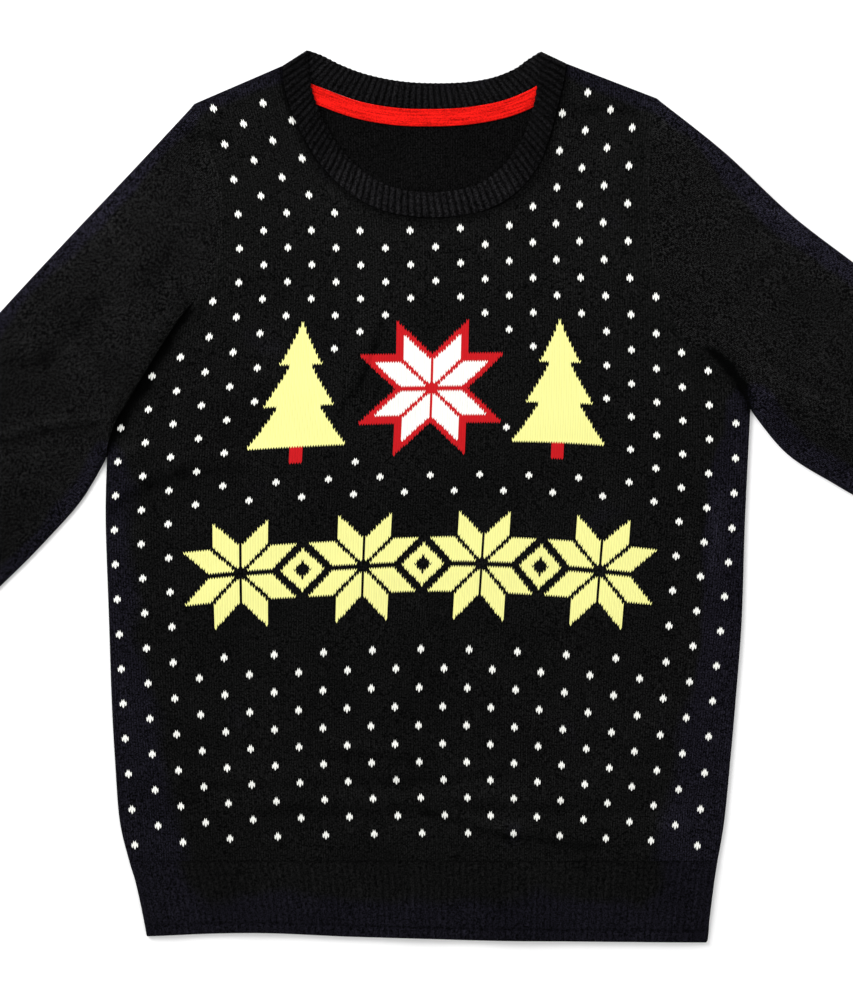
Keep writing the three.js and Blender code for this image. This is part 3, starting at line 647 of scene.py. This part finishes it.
# Neckband and tape
FRONT_RIBS = 66
BACK_RIBS = 45
BAND_WIDTH = 18.5
BAND_STEPS = [(0, 0.78), (0.04, 0.93), (0.1, 1), (0.2, 1), (0.35, 1), (0.5, 1), (0.65, 1), (0.8, 1),
              (0.9, 0.97), (0.96, 0.88), (1, 0.62)]


def neckband_cloth(sizes):
    steps, full = np.array(BAND_STEPS).T
    top_share = shares((0, 0.006, 5), (0.006, 0.994, FRONT_RIBS * 7), (0.994, 1, 5))
    low_share = shares((0, 0.008, 5), (0.008, 0.992, BACK_RIBS * 7), (0.992, 1, 5))
    high = BAND_LOW + BAND_WALL
    middle = high / 2
    arch = 0.5 * np.sin(math.pi * steps)[:, None]
    drop = (1 - full)[:, None] * 1.3

    def plan(rows, share, count=0):
        seam, free = Line(columns_of(rows, 0)), Line(columns_of(rows, 2))
        start, end = seam.at(share)[None], free.at(share)[None]
        scallop = 0.06 * (ribs(count, share)[None] - 0.5) * steps[:, None] ** 4 if count else np.zeros((1, 1))
        return start + (end - start) * (steps[:, None] * (1 + scallop))[..., None]

    def fold(share):
        return rolled(np.minimum(share, 1 - share) * 260)[None]

    def rib(count, share):
        return sizes.band_rib_depth * 1000 * ribs(count, share)[None] * full[:, None]

    def squeeze(share):
        ends = np.minimum(share, 1 - share)
        pushed = np.where(ends < 0.03, 0.006 + ends * 0.8, ends)
        return np.where(share < 0.5, pushed, 1 - pushed)

    shown = np.clip(np.minimum(low_share, 1 - low_share) * 14, 0, 1)[None]
    front = middle + (high - middle - drop + arch + rib(FRONT_RIBS, top_share)) * fold(top_share)
    front_inside = middle + (BAND_LOW - middle) * fold(top_share)
    back = middle - (middle - BAND_WALL - shown * (rib(BACK_RIBS, low_share) + arch - drop)) * fold(low_share)
    outer = ring_of(raised(plan(BAND_FRONT, top_share, FRONT_RIBS), front),
                    raised(plan(BAND_BACK, low_share, BACK_RIBS), middle - middle * fold(low_share)))
    inner = ring_of(raised(plan(BAND_FRONT, squeeze(top_share)), front_inside),
                    raised(plan(BAND_BACK, squeeze(low_share)), back))
    grid = np.concatenate([outer, inner[::-1], outer[:1]])
    front_ribs, back_ribs = top_share * FRONT_RIBS, (1 - low_share[-2:0:-1]) * BACK_RIBS
    wales = np.concatenate([front_ribs, FRONT_RIBS + back_ribs, [FRONT_RIBS + BACK_RIBS]]) * RIB_WALES
    up = steps * BAND_WIDTH / COURSE
    courses = np.concatenate([up, up[::-1], up[:1]])
    stitches = np.stack(np.broadcast_arrays(wales[None], courses[:, None]), -1)
    behind = np.concatenate([0 * top_share, 1 + 0 * low_share[-2:0:-1], [0]])
    uneven = 0.12 * np.sin(wales * 0.9)[None] * np.sin(wales * 0.23)[None]
    # Painted shade: the front part darker up its sides and over the shoulders, and the back part darker too;
    # the light also varies at random along the wales
    light = 1 + uneven - 0.46 * np.clip((grid[..., 1] - 565) / 30, 0, 1) * (1 - behind) - 0.2 * behind
    blue = 0.3 * behind * np.concatenate([steps, steps[::-1], steps[:1]])[:, None]
    tones = np.stack([light, blue], -1)
    return cloth_piece("neckband_cloth", grid, stitches, None, tones, around=True)


def tape_cloth(sizes):
    width = sizes.tape_width * 1000
    seam = Line(columns_of(BAND_BACK, 0))
    share = np.linspace(0.075, 0.925, 260)
    edge = np.array([0, 0.25, 0.6, 1.2])
    below = np.concatenate([edge, np.linspace(2, width - 2, 12), width - edge[::-1]])
    down = -seam.left_of(share)
    plan = seam.at(share)[None] + down[None] * (0.45 + below[::-1])[:, None, None]
    sewn = np.minimum(below, width - below)[::-1][:, None]
    along = share[None] * 225
    pucker = 0.16 * np.sin(along * 2 * math.pi / 6.5) * np.exp(-((sewn - 1.5) / 1.2) ** 2)
    kink = 1.3 * np.exp(-(((share[None] - 0.876) / 0.010) ** 2)) * np.clip(1 - below[::-1][:, None] / 9, 0, 1)
    full = 0.35 + 0.65 * np.sqrt(np.clip(sewn / 0.6, 0, 1))
    height = WALL + GAP + TAPE_WALL * full + 0.15 + pucker + kink
    stitches = np.stack(np.broadcast_arrays(along, width - below[::-1][:, None]), -1)
    return cloth_piece("neck_tape_cloth", raised(plan, height), stitches, TAPE_CLOTH_WALL)


# Materials
class Nodes:
    """A material's node tree, written as sums."""

    def __init__(self, name):
        self.material = bpy.data.materials.new(name)
        self.material.use_nodes = True
        self.tree = self.material.node_tree
        self.tree.nodes.clear()

    def node(self, kind, **settings):
        node = self.tree.nodes.new(kind)
        for name, value in settings.items():
            setattr(node, name, value)
        return node

    def put(self, socket, value):
        if isinstance(value, bpy.types.NodeSocket):
            self.tree.links.new(value, socket)
        else:
            socket.default_value = value

    def math(self, operation, *values):
        node = self.node("ShaderNodeMath", operation=operation)
        for socket, value in zip(node.inputs, values):
            self.put(socket, value)
        return node.outputs[0]

    def add(self, a, b):
        return self.math("ADD", a, b)

    def less(self, a, b):
        return self.math("SUBTRACT", a, b)

    def times(self, a, b):
        return self.math("MULTIPLY", a, b)

    def under(self, a, b):
        return self.math("LESS_THAN", a, b)

    def floor(self, a):
        return self.math("FLOOR", a)

    def size(self, a):
        return self.math("ABSOLUTE", a)

    def around(self, a, period):
        """The distance from the nearest whole number of periods."""
        return self.size(self.less(self.math("FLOORED_MODULO", self.add(a, period / 2), period), period / 2))

    def mix(self, share, a, b):
        node = self.node("ShaderNodeMix", data_type="RGBA")
        self.put(node.inputs[0], share)
        self.put(node.inputs[6], a)
        self.put(node.inputs[7], b)
        return node.outputs[2]

    def noise(self, scale, detail=2.0):
        node = self.node("ShaderNodeTexNoise")
        place = self.node("ShaderNodeTexCoord")
        self.put(node.inputs["Vector"], place.outputs["Object"])
        self.put(node.inputs["Scale"], scale)
        self.put(node.inputs["Detail"], detail)
        return node.outputs["Fac"]

    def tone(self, name):
        return self.node("ShaderNodeAttribute", attribute_name=name).outputs["Fac"]

    def stitches(self):
        uv = self.node("ShaderNodeUVMap", uv_map="stitches")
        parts = self.node("ShaderNodeSeparateXYZ")
        self.put(parts.inputs[0], uv.outputs[0])
        return parts.outputs[0], parts.outputs[1]

    def finish(self, colour, height, depth, roughness, sheen):
        shader = self.node("ShaderNodeBsdfPrincipled")
        self.put(shader.inputs["Base Color"], colour)
        self.put(shader.inputs["Roughness"], roughness)
        self.put(shader.inputs["Specular IOR Level"], 0.0)
        self.put(shader.inputs["Sheen Weight"], sheen)
        self.put(shader.inputs["Sheen Roughness"], 0.6)
        bump = self.node("ShaderNodeBump")
        self.put(bump.inputs["Strength"], 1.0)
        self.put(bump.inputs["Distance"], depth)
        self.put(bump.inputs["Height"], height)
        self.put(shader.inputs["Normal"], bump.outputs[0])
        out = self.node("ShaderNodeOutputMaterial")
        self.put(out.inputs["Surface"], shader.outputs[0])
        return self.material


LEAN = 1.4  # how much lower a stitch's middle stands than its sides, in courses


def knit_cells(n):
    """The wale and course that a place is in, each stitch being a V, and the yarn's height there."""
    wales, courses = n.stitches()
    in_wale = n.math("FRACT", n.add(wales, 0.5))
    side = n.size(n.less(n.times(in_wale, 2.0), 1.0))
    bent = n.add(n.less(courses, n.times(side, LEAN)), LEAN / 2)
    leg = n.math("SINE", n.times(n.math("FRACT", n.times(in_wale, 2.0)), math.pi))
    loop = n.math("SINE", n.times(n.math("FRACT", bent), math.pi))
    height = n.times(n.math("POWER", n.math("MAXIMUM", leg, 0.0), 0.6), n.add(n.times(loop, 0.55), 0.45))
    return n.floor(n.add(wales, 0.5)), n.floor(bent), height


def dots(n, wale, course):
    """A dot three wales wide and four courses high, every twenty of each with a half drop, and its middle."""
    band = n.floor(n.times(n.add(course, DROP / 2), 1 / DROP))
    row = n.less(course, n.times(band, DROP))
    turned = n.add(wale, n.times(band, DROP))
    column = n.less(n.math("FLOORED_MODULO", n.add(turned, DROP), 2 * DROP), DROP)
    off = n.size(n.add(row, 0.5))
    middle = n.less(wale, column)
    aside = n.size(n.less(n.stitches()[0], middle))
    tall = n.times(n.under(aside, 0.46), n.under(off, 2.0))
    wide = n.times(n.under(aside, 1.3), n.under(off, 1.0))
    above = n.under(LAST_BAND - 0.5, band)
    shown = n.times(above, n.under(0.5, n.tone("whole")))
    shape = n.times(n.math("MAXIMUM", tall, wide), shown)
    return shape, middle, n.times(band, DROP)


LAST_BAND = -24.0  # no dots lie below this one
ASPECT = 0.69  # a course's height over a wale's width


def star(n, across, up, reach):
    """An eight-pointed star of diamonds, as (its whole shape, its diamonds)."""
    low, high = n.math("MINIMUM", across, up), n.math("MAXIMUM", across, up)
    gap = n.less(high, low)
    whole = n.times(n.under(low, reach / 2), n.under(gap, reach / 2))
    petals = n.times(n.math("GREATER_THAN", gap, 1.1), n.math("GREATER_THAN", low, 0.9))
    return whole, n.times(whole, petals)


def fir(n, across, up):
    """A fir tree of three tiers on a short trunk."""
    part = n.times(n.less(up, 7.0), 1 / 52)
    saw = n.math("FRACT", n.times(part, 3.0))
    taper = n.times(n.less(1.0, part), 12.0)
    tier = n.times(n.less(1.0, saw), n.less(7.0, n.times(part, 4.0)))
    leaves = n.times(n.under(across, n.add(taper, tier)), n.times(n.under(0.0, part), n.under(part, 1.0)))
    trunk = n.times(n.under(across, 2.5), n.times(n.under(up, 7.0), n.under(0.0, up)))
    return leaves, trunk


def any_of(n, *masks):
    whole = masks[0]
    for mask in masks[1:]:
        whole = n.math("MAXIMUM", whole, mask)
    return whole


STAR_AT = (19.0, 14.0)
TREES_AT = ((-33.0, -30.0), (71.0, -30.0))
BAND_AT = (19.0, -94.0)


def design(n, wale, course, colours):
    """The front's colours in whole stitches, with 1 where they are bright: dots, trees, a star and a band."""
    def off(place, middle):
        return n.less(place[0], middle[0]), n.times(n.less(place[1], middle[1]), ASPECT)

    here = wale, course
    across, up = (n.size(x) for x in off(here, STAR_AT))
    whole, petals = star(n, across, up, 23.0)
    rim, _ = star(n, across, up, 29.0)
    red = n.times(rim, n.less(1.0, petals))
    firs = [fir(n, n.size(across), up) for across, up in (off(here, tree) for tree in TREES_AT)]
    across, up = off(here, BAND_AT)
    long, high = n.size(across), n.size(up)
    _, flowers = star(n, n.around(n.add(across, 24.0), 48.0), high, 22.0)
    lozenge = n.under(n.add(n.around(across, 48.0), high), 8.5)
    heart = n.under(n.add(n.around(across, 48.0), high), 3.5)
    small = n.times(n.times(lozenge, n.less(1.0, heart)), n.under(long, 60.0))
    yellow = any_of(n, n.times(flowers, n.under(long, 97.0)), small, *(leaves for leaves, trunk in firs))
    red = any_of(n, red, *(trunk for leaves, trunk in firs))

    dot, *middle = dots(n, wale, course)
    across, up = (n.size(x) for x in off(middle, STAR_AT))
    taken = [n.times(n.under(n.math("MAXIMUM", across, up), 32.0), n.under(n.add(across, up), 47.0))]
    for tree in TREES_AT:
        across, up = off(middle, tree)
        wide = n.less(23.0, n.times(up, 0.28))
        taken.append(n.times(n.under(n.size(across), wide), n.times(n.under(-4.0, up), n.under(up, 63.0))))
    across, up = (n.size(x) for x in off(middle, BAND_AT))
    taken.append(n.times(n.under(across, 97.0), n.under(up, 25.0)))
    white = n.math("MAXIMUM", n.times(dot, n.less(1.0, any_of(n, *taken))), petals)
    colour = n.mix(yellow, colours["ground"], colours["yellow"])
    colour = n.mix(red, colour, colours["red"])
    return n.mix(white, colour, colours["white"]), any_of(n, yellow, red, white)


def scaled(n, colour, shade):
    node = n.node("ShaderNodeVectorMath", operation="SCALE")
    n.put(node.inputs[0], colour)
    n.put(node.inputs["Scale"], shade)
    return node.outputs[0]


def varied(n, colour, height, bright=0.0, grain=6.0):
    """Yarn is uneven at random, and has painted shade between its stitches and painted light and shade on its
    folds: most of all the dark yarn.
    """
    cloud = n.add(n.times(n.noise(16.0, 4.0), 0.9), 0.55)
    fine = n.add(n.times(n.noise(900.0, 1.0), grain), n.add(n.times(n.noise(380.0), 1.2), 0.4 - grain / 2))
    lit = n.tone("light")
    # uneven: the yarn's random tone, times the painted light and shade of the light tone
    uneven = n.times(n.times(cloud, lit), n.math("MAXIMUM", fine, 0.08))
    # painted shade between the stitches, by the yarn's height
    dark_yarn_shading = n.times(uneven, n.add(n.times(height, 1.1), 0.3))
    if bright == 0.0:
        return scaled(n, colour, dark_yarn_shading)
    shaded = n.math("MINIMUM", n.add(n.times(lit, 0.35), 0.65), 1.0)
    light = n.times(n.add(n.times(height, 0.16), 0.88), shaded)
    return scaled(n, colour, n.add(n.times(light, bright), n.times(dark_yarn_shading, n.less(1.0, bright))))


def outer(n):
    """How blue the black yarn looks."""
    far = n.add(n.times(n.tone("blue"), 2.6), n.less(n.times(n.noise(15.0, 4.0), 4.4), 2.9))
    return n.math("MINIMUM", n.math("MAXIMUM", far, 0.0), 1.0)


def knit_material(name, colours, front=False, depth=0.00035, lines=0.35, grain=6.0):
    """Plain knitting, or the front's, with lines of light along its wales."""
    n = Nodes(name)
    wale, course, height = knit_cells(n)
    ground = n.mix(outer(n), colours["ground"], colours["outer"])
    bright = 0.0
    if front:
        ground, bright = design(n, wale, course, colours | {"ground": ground})
    fuzz = n.add(height, n.times(n.noise(1600.0), 0.5))
    striped = n.add(height, n.times(n.math("SINE", n.times(n.stitches()[0], 2 * math.pi)), lines))
    return n.finish(varied(n, ground, striped, bright, grain), fuzz, depth, 0.95, 0.01)


def rib_material(name, colours, groove_shade):
    """Ribs of two raised wales and a sunk one, with painted shade in their grooves, as deep as the share
    given.
    """
    n = Nodes(name)
    wale, course, height = knit_cells(n)
    wales, _ = n.stitches()
    groove = n.size(n.math("SINE", n.times(wales, math.pi / 3)))
    shade = n.add(n.times(n.math("POWER", groove, 1.4), groove_shade), 1 - groove_shade)
    ground = n.mix(outer(n), colours["ground"], colours["outer"])
    fuzz = n.add(height, n.times(n.noise(1600.0), 0.5))
    return n.finish(scaled(n, varied(n, ground, height), shade), fuzz, 0.0003, 0.95, 0.01)


def streaks(n, along, across):
    """Noise drawn out along the tape, a millimetre or so wide."""
    place = n.node("ShaderNodeCombineXYZ")
    n.put(place.inputs[0], n.times(along, 0.05))
    n.put(place.inputs[1], across)
    noise = n.node("ShaderNodeTexNoise")
    n.put(noise.inputs["Vector"], place.outputs[0])
    n.put(noise.inputs["Scale"], 0.8)
    return noise.outputs["Fac"]


def tape_material(colour):
    """A twill tape, its length in U and its width in V in millimetres, sewn down along each edge."""
    n = Nodes("neck_tape")
    along, across = n.stitches()
    twill = n.math("SINE", n.times(n.add(along, n.times(across, 0.6)), 2 * math.pi / 0.8))
    threads = n.math("SINE", n.times(across, 2 * math.pi / 0.55))
    sewn = n.times(n.under(n.size(n.less(n.size(n.less(across, 6.5)), 5.0)), 0.3),
                   n.under(n.math("FRACT", n.times(along, 0.4)), 0.62))
    weave = n.add(n.times(twill, 0.25), n.times(threads, 0.2))
    height = n.add(weave, n.times(sewn, 1.5))
    colour_node = n.node("ShaderNodeRGB")
    colour_node.outputs[0].default_value = colour
    shade = n.times(n.add(n.times(weave, 0.25), 0.95), n.less(1.0, n.times(sewn, 0.25)))
    drawn = n.add(n.times(streaks(n, along, across), 1.6), -1.1)
    shade = n.times(shade, n.add(n.times(n.noise(60.0), 0.4), n.add(n.times(n.noise(900.0), 1.4), drawn)))
    return n.finish(scaled(n, colour_node.outputs[0], n.add(shade, 0.25)), height, 0.0002, 0.8, 0.0)


# Settings, operators and panel
def length(name, description, default):
    return bpy.props.FloatProperty(name=name, description=description, default=default,
                                   unit="LENGTH", precision=4)


def paint(name, description, default):
    return bpy.props.FloatVectorProperty(name=name, description=description, default=default,
                                         subtype="COLOR", size=4, min=0, max=1)


class JumperSizes(bpy.types.PropertyGroup):
    rib_depth: length("Rib depth", "Height of the ribs on the hem and cuffs", 0.0006)
    band_rib_depth: length("Band rib depth", "Height of the ribs on the neckband", 0.0009)
    tape_width: length("Tape width", "Width of the neck tape", 0.013)
    view_height: length("View height", "Height of the camera over the table", 1.8)
    picture_height: length("Picture height", "Height of what the camera takes in", 0.75)


class JumperColours(bpy.types.PropertyGroup):
    ground: paint("Ground", "The black yarn", (0.0048, 0.0048, 0.0048, 1))
    outer: paint("Outer", "The black yarn where it looks blue", (0.0060, 0.0056, 0.0088, 1))
    inside: paint("Inside", "The black yarn on the inside of the back", (0.0030, 0.0029, 0.0030, 1))
    rib: paint("Rib", "The black yarn of the neckband's ribs", (0.0092, 0.0089, 0.0097, 1))
    white: paint("White", "The white yarn", (0.93, 0.93, 0.88, 1))
    yellow: paint("Yellow", "The yellow yarn", (0.92, 0.90, 0.33, 1))
    red: paint("Red", "The red yarn", (0.56, 0.012, 0.016, 1))
    tape: paint("Tape", "The neck tape", (0.76, 0.0105, 0.0075, 1))
    table: paint("Table", "The surface it lies on", (0.9, 0.9, 0.9, 1))


def palette(ground="ground"):
    colours = bpy.context.scene.jumper_colours
    taken = {name: tuple(getattr(colours, name)) for name in ("outer", "white", "yellow", "red")}
    return taken | {"ground": tuple(getattr(colours, ground))}


def ready():
    """Leaves any editing mode."""
    if bpy.context.object and bpy.context.object.mode != "OBJECT":
        bpy.ops.object.mode_set(mode="OBJECT")


# Lights: name, place in metres, width, power
LIGHTS = [("softbox", (-1.1, 1.0, 1.1), 1.0, 34), ("fill", (1.3, -0.6, 1.8), 1.5, 8)]
SKY = 0.75
TABLE_DROP = 0.0002
VIEW_MIDDLE = (0.375, 330, 0)
SENSOR = 36


class JUMPER_OT_panels(bpy.types.Operator):
    """Make the knitted front and back"""
    bl_idname = "jumper.panels"
    bl_label = "Front and back"

    def execute(self, context):
        ready()
        dotted = knit_material("dotted_knit", palette(), front=True)
        dress(front_cloth(), "front_panel", dotted, PANEL_FLAT)
        inside = palette("inside") | {"outer": tuple(context.scene.jumper_colours.inside)}
        plain = knit_material("plain_knit", inside)
        dress(back_cloth(), "back_panel", plain, PANEL_FLAT)
        return {"FINISHED"}


class JUMPER_OT_sleeves(bpy.types.Operator):
    """Make both sleeves as flattened tubes"""
    bl_idname = "jumper.sleeves"
    bl_label = "Sleeves"

    def execute(self, context):
        ready()
        material = knit_material("sleeve_knit", palette(), lines=0.6, grain=12.0)
        for name, armhole, rows, side in (("left_sleeve", ARMHOLE_LEFT, SLEEVE_LEFT, 1),
                                          ("right_sleeve", ARMHOLE_RIGHT, SLEEVE_RIGHT, -1)):
            piece = sleeve_cloth(name + "_cloth", armhole, rows, side)
            dress(piece, name, material, SLEEVE_FLAT)
        return {"FINISHED"}


class JUMPER_OT_ribs(bpy.types.Operator):
    """Make the ribbed hem and cuffs"""
    bl_idname = "jumper.ribs"
    bl_label = "Hem and cuffs"

    def execute(self, context):
        ready()
        sizes = context.scene.jumper_sizes
        material = rib_material("rib_knit", palette(), 0.35)
        plain = knit_material("rib_underside", palette())
        dress(front_hem_cloth(sizes), "front_hem_rib", material, HEM_FLAT)
        dress(back_hem_cloth(), "back_hem_rib", plain, HEM_FLAT)
        for name, rows, side in (("left_cuff", CUFF_LEFT, 1), ("right_cuff", CUFF_RIGHT, -1)):
            piece = cuff_cloth(name + "_cloth", rows, side, sizes)
            dress(piece, name, material, CUFF_FLAT)
        return {"FINISHED"}


class JUMPER_OT_neck(bpy.types.Operator):
    """Make the ribbed neckband and the tape inside it"""
    bl_idname = "jumper.neck"
    bl_label = "Neckband and tape"

    def execute(self, context):
        ready()
        sizes = context.scene.jumper_sizes
        band = rib_material("band_rib", palette("rib"), 0.85)
        dress(neckband_cloth(sizes), "neckband", band, BAND_FLAT)
        tape = tape_material(tuple(context.scene.jumper_colours.tape))
        dress(tape_cloth(sizes), "neck_tape", tape, TAPE_FLAT)
        return {"FINISHED"}


class JUMPER_OT_stage(bpy.types.Operator):
    """Make the white table, the soft light over it and the camera above"""
    bl_idname = "jumper.stage"
    bl_label = "Table, light and camera"

    def execute(self, context):
        ready()
        scene = context.scene
        sizes = scene.jumper_sizes
        bpy.ops.mesh.primitive_plane_add(size=8, location=(0, 0, -TABLE_DROP))
        table = context.object
        table.name = "table"
        n = Nodes("table")
        shader = n.node("ShaderNodeBsdfDiffuse")
        n.put(shader.inputs["Color"], tuple(scene.jumper_colours.table))
        out = n.node("ShaderNodeOutputMaterial")
        n.put(out.inputs["Surface"], shader.outputs[0])
        table.data.materials.append(n.material)
        world = bpy.data.worlds.new("studio")
        scene.world = world
        world.use_nodes = True
        sky = world.node_tree.nodes["Background"]
        sky.inputs[0].default_value = (1, 1, 1, 1)
        sky.inputs[1].default_value = SKY
        for name, place, size, power in LIGHTS:
            bpy.ops.object.light_add(type="AREA", location=place)
            light = context.object
            light.name = name
            light.data.size = size
            light.data.energy = power
            toward = np.array(place)
            light.rotation_euler = (math.atan2(math.hypot(toward[0], toward[1]), toward[2]), 0,
                                    math.atan2(toward[1], toward[0]) + math.pi / 2)
        middle = np.array(VIEW_MIDDLE) - ORIGIN
        bpy.ops.object.camera_add(location=(middle[0] / 1000, middle[1] / 1000, sizes.view_height))
        camera = context.object
        camera.data.sensor_width = SENSOR
        camera.data.lens = SENSOR * sizes.view_height / sizes.picture_height
        scene.camera = camera
        scene.view_settings.view_transform = "Standard"
        return {"FINISHED"}


class JUMPER_PT_sidebar(bpy.types.Panel):
    """Sizes, colours and makers of the jumper"""
    bl_idname = "JUMPER_PT_sidebar"
    bl_label = "Jumper"
    bl_space_type = "VIEW_3D"
    bl_region_type = "UI"
    bl_category = "Jumper"

    def draw(self, context):
        for group in (context.scene.jumper_sizes, context.scene.jumper_colours):
            for name in group.__annotations__:
                self.layout.prop(group, name)
        for maker in MAKERS:
            self.layout.operator(maker.bl_idname)


MAKERS = (JUMPER_OT_panels, JUMPER_OT_sleeves, JUMPER_OT_ribs, JUMPER_OT_neck, JUMPER_OT_stage)
CLASSES = (JumperSizes, JumperColours, *MAKERS, JUMPER_PT_sidebar)


def register():
    for cls in CLASSES:
        bpy.utils.register_class(cls)
    bpy.types.Scene.jumper_sizes = bpy.props.PointerProperty(type=JumperSizes)
    bpy.types.Scene.jumper_colours = bpy.props.PointerProperty(type=JumperColours)


def unregister():
    del bpy.types.Scene.jumper_colours
    del bpy.types.Scene.jumper_sizes
    for cls in reversed(CLASSES):
        bpy.utils.unregister_class(cls)


def main():
    register()
    bpy.ops.jumper.stage()
    bpy.ops.jumper.panels()
    bpy.ops.jumper.sleeves()
    bpy.ops.jumper.ribs()
    bpy.ops.jumper.neck()


if __name__ == "__main__":
    main()
